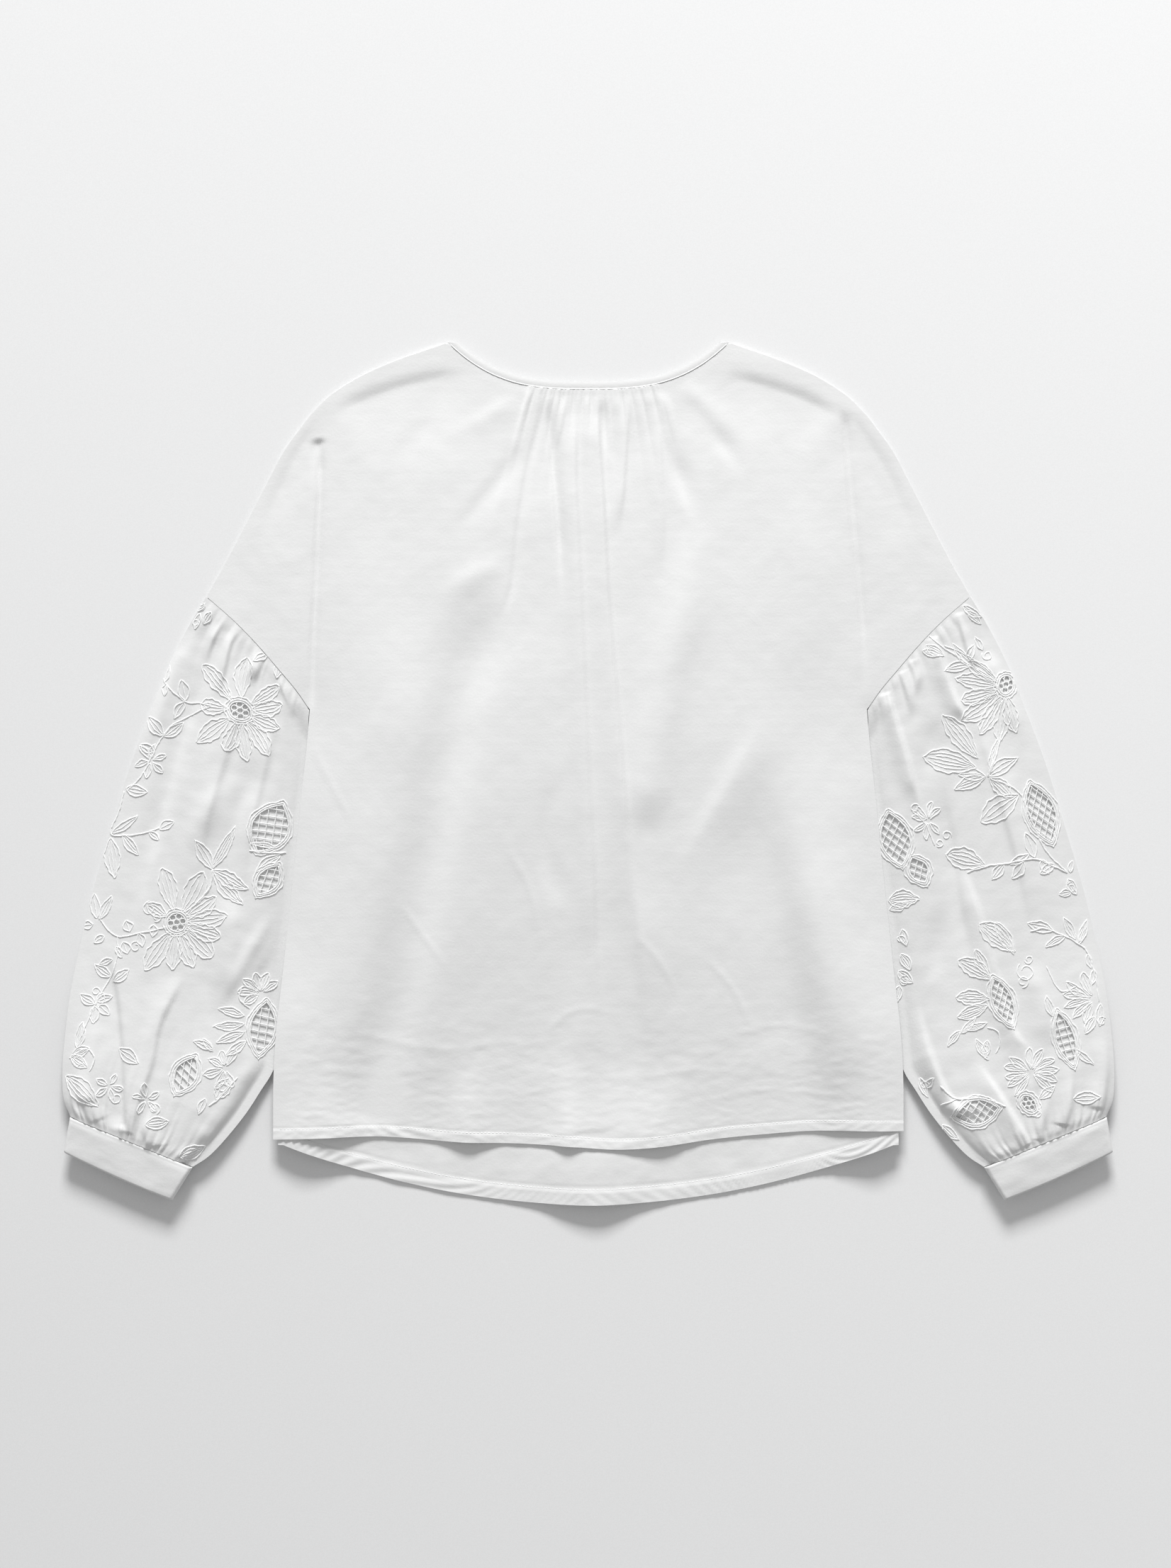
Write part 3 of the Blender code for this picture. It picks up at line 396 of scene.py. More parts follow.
def spline(rows: Sequence[Sequence[float]], position: Array) -> Array:
    """Points on the smooth curve through the rows.

    Args:
        rows: points of the outline.
        position: row numbers, with row k at k.

    Returns:
        One x and y for each position.
    """
    knots = np.array([(row[0], row[1]) for row in rows], float)
    knots = np.vstack([2 * knots[0] - knots[1], knots, 2 * knots[-1] - knots[-2]])
    position = np.clip(np.asarray(position, float), 0.0, len(rows) - 1.0)
    first = np.minimum(position.astype(int), len(rows) - 2)
    t = (position - first)[..., None]
    p0, p1, p2, p3 = (knots[first + k] for k in range(4))
    return 0.5 * (2 * p1 + (p2 - p0) * t + (2 * p0 - 5 * p1 + 4 * p2 - p3) * t**2
                  + (3 * p1 - p0 - 3 * p2 + p3) * t**3)


def along(rows: Sequence[Point], share: Array | float, first: int = 0,
          last: int | None = None) -> Array:
    """Points at these shares of the curve's length between two of its rows.

    Args:
        rows: the curve's rows.
        share: shares of the length, from 0 to 1.
        first: the row that the length starts at.
        last: the row that it ends at, the last if None.

    Returns:
        One x and y for each share.
    """
    last = len(rows) - 1 if last is None else last
    steps = np.linspace(first, last, 240)
    run = run_of(spline(rows, steps))
    return spline(rows, np.interp(np.asarray(share) * run[-1], run, steps))


def run_of(points: Array) -> Array:
    """Length of the line up to each of its points."""
    return np.concatenate([[0.0], np.cumsum(np.linalg.norm(np.diff(points, axis=0), axis=1))])


def points_at(points: Array, run: Array, at: Array) -> Array:
    """Points of the line at these lengths from its start."""
    return np.stack([np.interp(at, run, points[:, 0]), np.interp(at, run, points[:, 1])], -1)


def x_at(rows: Sequence[Point], y: Array) -> Array:
    """The curve's x at this height, for a curve that falls all the way."""
    points = spline(rows, np.linspace(0, len(rows) - 1, 160))[::-1]
    return np.interp(y, points[:, 1], points[:, 0])


def distance_to(rows: Sequence[Point], x: Array, y: Array) -> Array:
    """Distance from points to the curve through the rows.

    Args:
        rows: the curve's rows.
        x: points' x.
        y: points' y.

    Returns:
        The shortest distance of each point.
    """
    line = spline(rows, np.linspace(0, len(rows) - 1, 50))
    start, step = line[:-1], np.diff(line, axis=0)
    offset = np.stack([x, y], -1)[..., None, :] - start
    share = np.clip((offset * step).sum(-1) / (step * step).sum(-1), 0.0, 1.0)
    return np.linalg.norm(offset - share[..., None] * step, axis=-1).min(-1)


def neck_y(x: Array) -> Array:
    """Height of the neck edge of the panels."""
    return NECK_LOW + NECK_RISE * np.minimum(np.abs(x) / NECK_HALF, 1.0) ** 3


def neck_slope(x: Array) -> Array:
    """How steeply the neck edge of the panels rises away from its middle."""
    return 3 * NECK_RISE * x**2 / NECK_HALF**3


def front_hem_y(x: Array) -> Array:
    """Height of the front hem."""
    points = spline(FRONT_HEM, np.linspace(0, len(FRONT_HEM) - 1, 160))
    return np.interp(x, points[:, 0], points[:, 1])


def back_hem_y(x: Array) -> Array:
    """Height of the back hem, a long shallow tail."""
    fall = BACK_HEM_CORNER - BACK_HEM_LOW
    return BACK_HEM_CORNER - fall * (1.0 - np.minimum(np.abs(x) / BACK_HEM_HALF, 1.0) ** 2)


def waves(x: Array, y: Array, seed: int, length: float, flat: float = 1.0) -> Array:
    """Gentle uneven swells of the cloth, between about -1 and 1.

    Args:
        x: points' x.
        y: points' y.
        seed: which of the swells to draw.
        length: the swells' usual length.
        flat: above 1 the swells run crosswise, as pressed linen's do.

    Returns:
        The swell at each point.
    """
    rng = np.random.default_rng(seed)
    total = np.zeros_like(x)
    for _ in range(14):
        turn = rng.uniform(0, 2 * math.pi)
        pitch = length * rng.uniform(0.6, 1.9)
        way = np.array([math.cos(turn), math.sin(turn) * flat])
        bend = 6.0 * np.sin((x * way[1] - y * way[0]) / pitch * 1.7 + rng.uniform(0, 6))
        total += np.sin((x * way[0] + y * way[1] + bend) * 2 * math.pi / pitch + rng.uniform(0, 6))
    return total / 5.0


def swells(group: Iterable[Swell], x: Array, y: Array) -> Array:
    """Height of several swells together."""
    return sum(swell.at(x, y) for swell in group)


def ridge_height(ridge: Ridge, x: Array, y: Array) -> Array:
    """Height of one fold at these points.

    Args:
        ridge: the fold.
        x: points' x.
        y: points' y.

    Returns:
        The fold's height at each point, 0 away from it.
    """
    made = np.zeros_like(x)
    ends = np.array(ridge.points, float)
    reach = 2.6 * max(ridge.left, ridge.right)
    near = ((x > ends[:, 0].min() - reach) & (x < ends[:, 0].max() + reach)
            & (y > ends[:, 1].min() - reach) & (y < ends[:, 1].max() + reach))
    if not near.any():
        return made
    count = 18
    line = spline(ridge.points, np.linspace(0, len(ridge.points) - 1, count + 1))
    start, step = line[:-1], np.diff(line, axis=0)
    offset = np.stack([x[near], y[near]], -1)[:, None, :] - start
    share = np.clip((offset * step).sum(-1) / (step * step).sum(-1), 0.0, 1.0)
    gap = offset - share[..., None] * step
    far = np.linalg.norm(gap, axis=-1)
    pick = far.argmin(-1)
    rows = np.arange(len(pick))
    cross = step[pick, 0] * gap[rows, pick, 1] - step[pick, 1] * gap[rows, pick, 0]
    spread = np.where(cross > 0, ridge.right, ridge.left)
    at = (pick + share[rows, pick]) / count
    fade = smooth(at / ridge.head) * smooth((1 - at) / ridge.tail)
    made[near] = ridge.height * fade * np.exp(-((far[rows, pick] / spread) ** 2))
    return made


def hem_lift(x: Array, y: Array) -> Array:
    """How far the lower corners and the middle of the tail stand up from the table."""
    return CORNER_LIFT.rise(np.abs(x), y) + TAIL_LIFT.rise(x, y)


def back_under(x: Array, y: Array) -> Array:
    """Underside of the back panel: on the table, but over the sleeves' tucked edges.

    Args:
        x: points' x.
        y: points' y.

    Returns:
        Height above the table.
    """
    inward = x_at(SIDE, y) - np.abs(x)
    return TUCK_LIFT * TUCK_HEAD.at(y) * TUCK_FOOT.at(y) * (1.0 - TUCK_SIDE.at(inward))


def panel_room(x: Array, y: Array) -> Array:
    """Height of the room under the front panel's wall, which its edges close softly.

    Args:
        x: points' x.
        y: points' y.

    Returns:
        The room between the two panels.
    """
    shoulder = distance_to(SHOULDER, np.abs(x), y)
    side = distance_to(SIDE, np.abs(x), y)
    chest = CHEST_ROOM * smooth((CHEST_TOP - y) / CHEST_TOP) * roll(shoulder, CHEST_ROLL)
    chest = chest * smooth((CHEST_HALF - np.abs(x)) / CHEST_EDGE)
    least = UNDERARM_ROOM * UNDERARM.at(y)
    edge = least + (1.0 - least) * roll(side, EDGE_ROLL)
    return PANEL_ROOM * edge * (0.8 + 0.2 * roll(shoulder, EDGE_ROLL)) + chest


def front_under(x: Array, y: Array) -> Array:
    """Underside of the front panel, without its folds.

    Args:
        x: points' x.
        y: points' y.

    Returns:
        Height above the table.
    """
    room = panel_room(x, y)
    neck = smooth((neck_y(x) - y) / NECK_FALL)
    near_neck = np.clip(1.0 - (np.abs(x) - NECK_HALF) / BESIDE_NECK, 0.0, 1.0)
    room = room * (1 - near_neck) + near_neck * (NECK_ROOM + (room - NECK_ROOM) * neck)
    above_hem = y - front_hem_y(x)
    room = room * smooth(above_hem / HEM_CLOSE)
    for wave in FRONT_HEM_WAVES:
        room = room + wave.height * np.exp(-wave.spread(x) - (above_hem / HEM_WAVE_RISE) ** 2)
    return back_under(x, y) + LAYER + room + hem_lift(x, y)


def front_top(x: Array, y: Array) -> Array:
    """The front panel's outer face, with its folds and without its gathers.

    Args:
        x: points' x.
        y: points' y.

    Returns:
        Height above the table, never below the back panel.
    """
    near_edge = np.minimum(distance_to(SHOULDER, np.abs(x), y), distance_to(SIDE, np.abs(x), y))
    held = roll(near_edge, SEAM_HOLD)
    held = held * np.where(np.abs(x) < NECK_HALF, smooth((neck_y(x) - y) / NECK_HOLD), 1.0)
    folds = sum(ridge_height(ridge, x, y) for ridge in FRONT_RIDGES)
    kept = FOLD_KEPT + RIGHT_FOLD_KEPT * RIGHT_FOLD.at(x)
    folds *= held * (kept + (1 - kept) * smooth((y - front_hem_y(x)) / FOLD_FADE))
    swell = swells(FRONT_SWELLS, x, y) + ABOVE_HEM.at(y) * swells(ABOVE_HEM_SWELLS, x, y)
    below = back_under(x, y) + hem_lift(x, y) + LAYER - CLOSEST
    spare = front_under(x, y) + folds + swell * held - below
    return below + 0.5 * (spare + np.sqrt(spare**2 + 0.5)) + CLOTH


def gather_wave(run: Array, far: Array, count: int, seed: int, length: float) -> Array:
    """Uneven gathers: from 0 in a pinch to about 1 on a crest, each fading at its own length.

    Args:
        run: places along the gathered edge, from 0 to 1.
        far: distances from the gathered edge.
        count: how many gathers there are.
        seed: which uneven spacing to draw.
        length: the gathers' usual length.

    Returns:
        The gathers' height at each place.
    """
    rng = np.random.default_rng(seed)
    pinches = (np.arange(count + 1) + rng.uniform(-0.33, 0.33, count + 1)) / count
    pinches[0], pinches[-1] = 0.0, 1.0
    crest = rng.uniform(0.45, 1.0, count)
    reach = length * rng.uniform(0.5, 1.7, count)
    inside = np.clip(np.searchsorted(pinches, run, side="right") - 1, 0, count - 1)
    share = (run - pinches[inside]) / (pinches[inside + 1] - pinches[inside])
    fade = np.exp(-np.maximum(far - 0.3 * length, 0) / reach[inside])
    return crest[inside] * fade * np.abs(np.sin(np.pi * np.clip(share, 0, 1))) ** 0.8


def index_grid(columns: int, rows: int) -> bmesh.types.BMesh:
    """A flat grid whose x and y are column and row numbers.

    Args:
        columns: how many columns of faces it has.
        rows: how many rows of faces it has.

    Returns:
        The grid, flat at height 0.
    """
    bm = bmesh.new()
    bmesh.ops.create_grid(bm, x_segments=columns, y_segments=rows, size=1.0)
    for vert in bm.verts:
        vert.co = Vector(((vert.co.x + 1) / 2 * columns, (vert.co.y + 1) / 2 * rows, 0.0))
    return bm


def place_verts(bm: bmesh.types.BMesh, place: Place) -> None:
    """Moves a grid's points from columns and rows to where the cloth lies, in metres.

    Args:
        bm: the index grid.
        place: gives x, y and z for columns and rows.
    """
    verts = list(bm.verts)
    index = np.round([(vert.co.x, vert.co.y) for vert in verts], 3)
    points = np.stack(place(index[:, 0], index[:, 1]), -1) * MM
    for vert, point in zip(verts, points):
        vert.co = point


def roll_rim(bm: bmesh.types.BMesh, steps: Iterable[tuple[float, float]],
             tucked: Callable[[float, float], bool] = lambda x, y: False) -> None:
    """Turns the sheet's open edge over, as a fold does, or tucks it under its neighbour.

    Args:
        bm: the sheet.
        steps: how far in and how far down each turn of the edge goes.
        tucked: whether the edge at this x and y goes on outward, under the piece beside it.
    """
    for edge in bm.edges:
        edge.smooth = not edge.is_boundary
    edge_verts = [vert for vert in bm.verts if vert.is_boundary]
    inward: dict[bmesh.types.BMVert, Vector] = {}
    for vert in edge_verts:
        middle = sum((face.calc_center_median() for face in vert.link_faces), Vector())
        way = middle / len(vert.link_faces) - vert.co
        way.z = 0.0
        inward[vert] = way.normalized() if way.length > 1e-9 else Vector()
        if tucked(vert.co.x / MM, vert.co.y / MM):
            inward[vert] *= -1.0
    for far, down in steps:
        edges = [edge for edge in bm.edges if edge.is_boundary]
        made = bmesh.ops.extrude_edge_only(bm, edges=edges)["geom"]
        fresh = {item for item in made if isinstance(item, bmesh.types.BMVert)}
        moved: dict[bmesh.types.BMVert, Vector] = {}
        for vert in fresh:
            for edge in vert.link_edges:
                other = edge.other_vert(vert)
                if other in inward and other not in fresh:
                    moved[vert] = inward[other]
                    break
        for vert, way in moved.items():
            vert.co += (way * far - Vector((0, 0, down))) * MM
        inward = moved


def to_mesh(name: str, bm: bmesh.types.BMesh) -> bpy.types.Mesh:
    """A mesh made of a bmesh, which is used up.

    Args:
        name: the mesh's name.
        bm: what it is made of.

    Returns:
        The mesh.
    """
    mesh = bpy.data.meshes.new(name)
    bm.to_mesh(mesh)
    bm.free()
    return mesh


def link(name: str, data: bpy.types.ID) -> bpy.types.Object:
    """Puts an object with this data into the scene.

    Args:
        name: the object's name.
        data: its mesh, curve, light or camera.

    Returns:
        The object.
    """
    made = bpy.data.objects.new(name, data)
    bpy.context.scene.collection.objects.link(made)
    return made


def add_object(name: str, mesh: bpy.types.Mesh, material: bpy.types.Material) -> bpy.types.Object:
    """Puts a finished mesh into the scene as a piece on the root body, shaded smooth.

    Args:
        name: the piece's name.
        mesh: its finished mesh.
        material: its finish.

    Returns:
        The piece.
    """
    mesh.materials.clear()
    mesh.materials.append(material)
    mesh.polygons.foreach_set("use_smooth", np.ones(len(mesh.polygons), bool))
    piece = link(name, mesh)
    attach(piece, "root")
    LOG.info("%s: %d faces", name, len(mesh.polygons))
    return piece


def finish_sheet(name: str, bm: bmesh.types.BMesh,
                 material: bpy.types.Material) -> bpy.types.Object:
    """Makes a piece of a sheet whose outer face looks up.

    Args:
        name: the piece's name.
        bm: the sheet, which is used up.
        material: its finish.

    Returns:
        The piece.
    """
    bmesh.ops.recalc_face_normals(bm, faces=bm.faces)
    top = max(bm.faces, key=lambda face: abs(face.normal.z) * face.calc_area())
    if top.normal.z < 0:
        bmesh.ops.reverse_faces(bm, faces=bm.faces)
    return add_object(name, to_mesh(name, bm), material)


Socket = bpy.types.NodeSocket
Feeds = dict[str | int, float | tuple[float, ...] | Socket]


def feed(tree: bpy.types.NodeTree, node: bpy.types.Node, inputs: Feeds) -> bpy.types.Node:
    """Sets the inputs of a node.

    Args:
        tree: the finish's nodes.
        node: the node.
        inputs: for each input a number or colour, or the output that drives it.

    Returns:
        The node.
    """
    for name, value in inputs.items():
        if isinstance(value, Socket):
            tree.links.new(value, node.inputs[name])
        else:
            node.inputs[name].default_value = value
    return node


def add_node(tree: bpy.types.NodeTree, kind: str, inputs: Feeds, **choices: str) -> bpy.types.Node:
    """Adds a node to a finish.

    Args:
        tree: the finish's nodes.
        kind: the kind of node, without the word that all kinds begin with.
        inputs: its inputs, as feed takes them.
        choices: its other settings.

    Returns:
        The node.
    """
    node = tree.nodes.new("ShaderNode" + kind)
    for name, value in choices.items():
        setattr(node, name, value)
    return feed(tree, node, inputs)


def start_finish(name: str, inputs: Feeds) -> tuple[bpy.types.Material, bpy.types.Node, Socket]:
    """Starts a finish.

    Args:
        name: the material's name.
        inputs: the shader's plain numbers.

    Returns:
        The material, its shader and the Object coordinates, in metres.
    """
    material = bpy.data.materials.new(name)
    material.use_nodes = True
    tree = material.node_tree
    shader = feed(tree, tree.nodes["Principled BSDF"], inputs)
    return material, shader, add_node(tree, "TexCoord", {}).outputs["Object"]


def in_mm(tree: bpy.types.NodeTree, place: Socket) -> Socket:
    """The same coordinates in millimetres."""
    return add_node(tree, "Mapping", {"Vector": place, "Scale": (1 / MM,) * 3}).outputs["Vector"]


def tone(colour: tuple[float, float, float], factor: float) -> tuple[float, ...]:
    """The colour made lighter or darker, with its alpha."""
    return (*[min(value * factor, 1.0) for value in colour], 1.0)


def blend(tree: bpy.types.NodeTree, share: float | Socket, first: tuple[float, ...],
          second: tuple[float, ...] | Socket, how: str = "MIX") -> Socket:
    """A blend of two colours.

    Args:
        tree: the finish's nodes.
        share: how much of the second colour is taken.
        first: the colour at share 0.
        second: the colour at share 1.
        how: the way of blending.

    Returns:
        The blended colour.
    """
    inputs: Feeds = {0: share, 6: first, 7: second}
    return add_node(tree, "Mix", inputs, data_type="RGBA", blend_type=how).outputs[2]


def bump(tree: bpy.types.NodeTree, height: Socket, depth: float,
         below: Socket | None = None) -> Socket:
    """Relief on a finish.

    Args:
        tree: the finish's nodes.
        height: the relief's height, from 0 to 1.
        depth: how deep it is at 1.
        below: the coarser relief that it lies on, if any.

    Returns:
        The turned normal.
    """
    inputs: Feeds = {"Strength": 1.0, "Distance": depth * MM, "Height": height}
    if below is not None:
        inputs["Normal"] = below
    return add_node(tree, "Bump", inputs).outputs["Normal"]


@dataclass(frozen=True)
class ClothFinish:
    """A woven cotton finish."""

    name: str
    colour: tuple[float, float, float]
    roughness: float = 0.88
    sheen: float = 0.12
    gloss: float = 0.25
    thread_mm: float = 0.62
    weave_depth: float = 0.05
    slub_depth: float = 0.1
    slub_scale: float = 0.55
    crease_depth: float = 0.16
    crease_mm: float = 24.0
    patch: float = 0.03
    patch_scale: float = 0.028

    def build(self) -> bpy.types.Material:
        """The material, with its weave, slubs and fine creases in the bump.

        Returns:
            The material.
        """
        material, shader, place = start_finish(self.name, {
            "Roughness": self.roughness, "Sheen Weight": self.sheen, "Sheen Roughness": 0.5,
            "Specular IOR Level": self.gloss})
        tree = material.node_tree
        place = in_mm(tree, place)
        tint = add_node(tree, "TexNoise", {
            "Vector": place, "Scale": self.patch_scale, "Detail": 3.0})
        colour = blend(tree, tint.outputs["Fac"], tone(self.colour, 1.0 - self.patch),
                       tone(self.colour, 1.0 + self.patch))
        warp, weft = (add_node(tree, "TexWave", {
            "Vector": place, "Scale": 0.314 / self.thread_mm, "Distortion": 1.4, "Detail": 2.0,
            "Detail Scale": 0.3}, bands_direction=way).outputs["Fac"] for way in ("X", "Y"))
        weave = add_node(tree, "Math", {0: warp, 1: weft}, operation="MULTIPLY")
        slub = add_node(tree, "TexNoise", {
            "Vector": place, "Scale": self.slub_scale, "Detail": 3.0})
        crease = add_node(tree, "TexNoise", {
            "Vector": place, "Scale": 1.0 / self.crease_mm, "Detail": 5.0, "Roughness": 0.55,
            "Distortion": 0.8})
        relief = bump(tree, crease.outputs["Fac"], self.crease_depth)
        relief = bump(tree, slub.outputs["Fac"], self.slub_depth, relief)
        relief = bump(tree, weave.outputs[0], self.weave_depth, relief)
        feed(tree, shader, {"Base Color": colour, "Normal": relief})
        return material


@dataclass(frozen=True)
class ThreadFinish:
    """Raised cotton embroidery thread."""

    name: str
    colour: tuple[float, float, float]
    roughness: float = 0.62
    sheen: float = 0.2
    gloss: float = 0.35
    twist_mm: float = 0.9
    depth: float = 0.13
    # Colour over the knots' relief: uneven tone along the thread, with darkest the painted shade in
    # the dips and lightest the tops
    darkest: float = 0.93
    lightest: float = 1.03

    def build(self) -> bpy.types.Material:
        """The material, with the stitches' small knots in the bump and painted shade in their dips.

        Returns:
            The material.
        """
        material, shader, place = start_finish(self.name, {
            "Roughness": self.roughness, "Sheen Weight": self.sheen,
            "Specular IOR Level": self.gloss})
        tree = material.node_tree
        noise = add_node(tree, "TexNoise", {
            "Vector": in_mm(tree, place), "Scale": 1.0 / self.twist_mm, "Detail": 2.0})
        knots = noise.outputs["Fac"]
        # Painted shade: the colour follows the knots' relief, darker where it dips
        tint = add_node(tree, "MapRange", {
            "Value": knots, "To Min": self.darkest, "To Max": self.lightest})
        colour = blend(tree, 1.0, (*self.colour, 1.0), tint.outputs["Result"], "MULTIPLY")
        feed(tree, shader, {"Base Color": colour, "Normal": bump(tree, knots, self.depth)})
        return material


@dataclass(frozen=True)
class FloorFinish:
    """The pale board under the blouse."""

    name: str = "pale_board"
    colour: tuple[float, float, float] = (0.82, 0.822, 0.824)
    contrast: float = 0.05
    # How far the painted shade across the board darkens its left side and lightens its right
    lean: float = 0.3
    half_width_m: float = 0.5

    def build(self) -> bpy.types.Material:
        """The material: flat white with a faint grain and painted shade, a little darker on the
        left.

        Returns:
            The material.
        """
        material, shader, place = start_finish(self.name, {
            "Roughness": 0.95, "Specular IOR Level": 0.1})
        tree = material.node_tree
        grain = add_node(tree, "TexNoise", {"Vector": place, "Scale": 900.0, "Detail": 2.0})
        # Painted shade: the colour darkens towards the left along x, standing in for light that
        # falls more from the right
        split = add_node(tree, "SeparateXYZ", {"Vector": place})
        across = add_node(tree, "MapRange", {
            "Value": split.outputs["X"], "From Min": -self.half_width_m,
            "From Max": self.half_width_m, "To Min": -self.lean, "To Max": self.lean})
        both = add_node(tree, "Math", {
            0: grain.outputs["Fac"], 1: across.outputs["Result"]}, operation="ADD")
        colour = blend(tree, both.outputs[0], tone(self.colour, 1.0 - self.contrast),
                       tone(self.colour, 1.0 + self.contrast))
        feed(tree, shader, {"Base Color": colour})
        return material


@dataclass
class BodyPanel:
    """A panel of the body with its two shoulder pieces, laid on a grid of columns and rows."""

    arm: int
    body: int
    low: int
    up: int
    hem: Callable[[Array], Array]
    hem_corner: float
    neck_drop: float = 0.0
    inset: float = 0.0
    shoulder_share: float = 0.13
    gather_share: float = 0.22
    crowding: float = 1.4

    def grid(self) -> bmesh.types.BMesh:
        """The index grid with the corners beside the body's lower part left out.

        Returns:
            The grid, with no place in space yet.
        """
        bm = index_grid(2 * self.arm + self.body, self.low + self.up)
        outside = []
        for face in bm.faces:
            centre = face.calc_center_median()
            if centre.y < self.low and not self.arm < centre.x < self.arm + self.body:
                outside.append(face)
        bmesh.ops.delete(bm, geom=outside, context="FACES")
        return bm

    def top(self, share: Array) -> Array:
        """Points of the top edge, shoulder to shoulder, at these shares of the body's columns.

        Args:
            share: shares of the body's columns, from 0 at the left.

        Returns:
            One x and y for each share.
        """
        first, last = self.shoulder_share, 1 - self.shoulder_share
        pinch, loose = self.gather_share, 1 - self.gather_share
        x = np.interp(share, [first, pinch, loose, last],
                      [-NECK_HALF, GATHER_FROM, GATHER_TO, NECK_HALF])
        points = np.stack([x, neck_y(x) - self.neck_drop], -1)
        left, right = share < first, share > last
        out = np.where(left, 1 - share / first, (share - last) / first)
        side = along(SHOULDER, np.clip(out, 0, 1), 0, FOLD_ROW)
        side[..., 0] *= np.where(left, -1.0, 1.0)
        return np.where((left | right)[..., None], side, points)

    def body_points(self, share: Array, row: Array) -> Array:
        """Points of the body between hem and shoulder.

        Args:
            share: shares of the body's columns, from 0 at the left.
            row: the points' row numbers.

        Returns:
            One x and y for each point.
        """
        across = share * 2 - 1
        climb = np.clip(row / self.low, 0, 1) ** self.crowding
        level = self.hem_corner + (SIDE[0].y - self.hem_corner) * climb
        follow = np.clip((HEM_REACH - level) / (HEM_REACH - self.hem_corner), 0, 1)
        y = level + (self.hem(across * SIDE[-1].x) - self.hem_corner) * follow
        inset = self.inset * smooth((HEM_REACH - level) / 90.0)
        below = np.stack([across * (x_at(SIDE, y) - inset), y], -1)
        rise = self.rise(row)[:, None]
        start = np.stack([across * SIDE[0].x, np.full_like(across, SIDE[0].y)], -1)
        above = start + (self.top(share) - start) * rise
        return np.where((row <= self.low)[:, None], below, above)

    def rise(self, row: Array) -> Array:
        """Share of the way from the underarm row to the top: rows stand closer near the neck."""
        share = np.clip((row - self.low) / self.up, 0, 1)
        return share * (1.42 - 0.42 * share)

    def arm_points(self, out: Array, up: Array) -> Array:
        """Points of the right shoulder piece, out from the side fold and up from the seam.

        Args:
            out: shares of the way out from the fold.
            up: shares of the way up from the seam.

        Returns:
            One x and y for each point.
        """
        seam, top = along(SEAM, 1 - out), along(SHOULDER, out, FOLD_ROW, ARM_ROW)
        fold, fold_top = np.array(SEAM[-1]), np.array(SHOULDER[FOLD_ROW])
        inner = fold + (fold_top - fold) * up[:, None]
        outer = along(SHOULDER, 1 - up, ARM_ROW, SEAM_ROW)
        seam_end, arm_end = along(SEAM, 0.0), along(SHOULDER, 0.0, ARM_ROW, SEAM_ROW)
        o, u = out[:, None], up[:, None]
        corners = ((1 - o) * (1 - u) * fold + o * (1 - u) * seam_end
                   + (1 - o) * u * fold_top + o * u * arm_end)
        return (1 - u) * seam + u * top + (1 - o) * inner + o * outer - corners

    def plan(self, column: Array, row: Array) -> Array:
        """Where a column and row of the grid lie, seen from above.

        Args:
            column: the points' column numbers.
            row: the points' row numbers.

        Returns:
            One x and y for each point.
        """
        share = np.clip((column - self.arm) / self.body, 0, 1)
        points = self.body_points(share, row)
        left, right = column < self.arm, column > self.arm + self.body
        out = np.where(left, self.arm - column, column - self.arm - self.body) / self.arm
        arm = self.arm_points(np.clip(out, 0, 1), self.rise(row))
        arm[:, 0] *= np.where(left, -1.0, 1.0)
        return np.where((left | right)[:, None], arm, points)


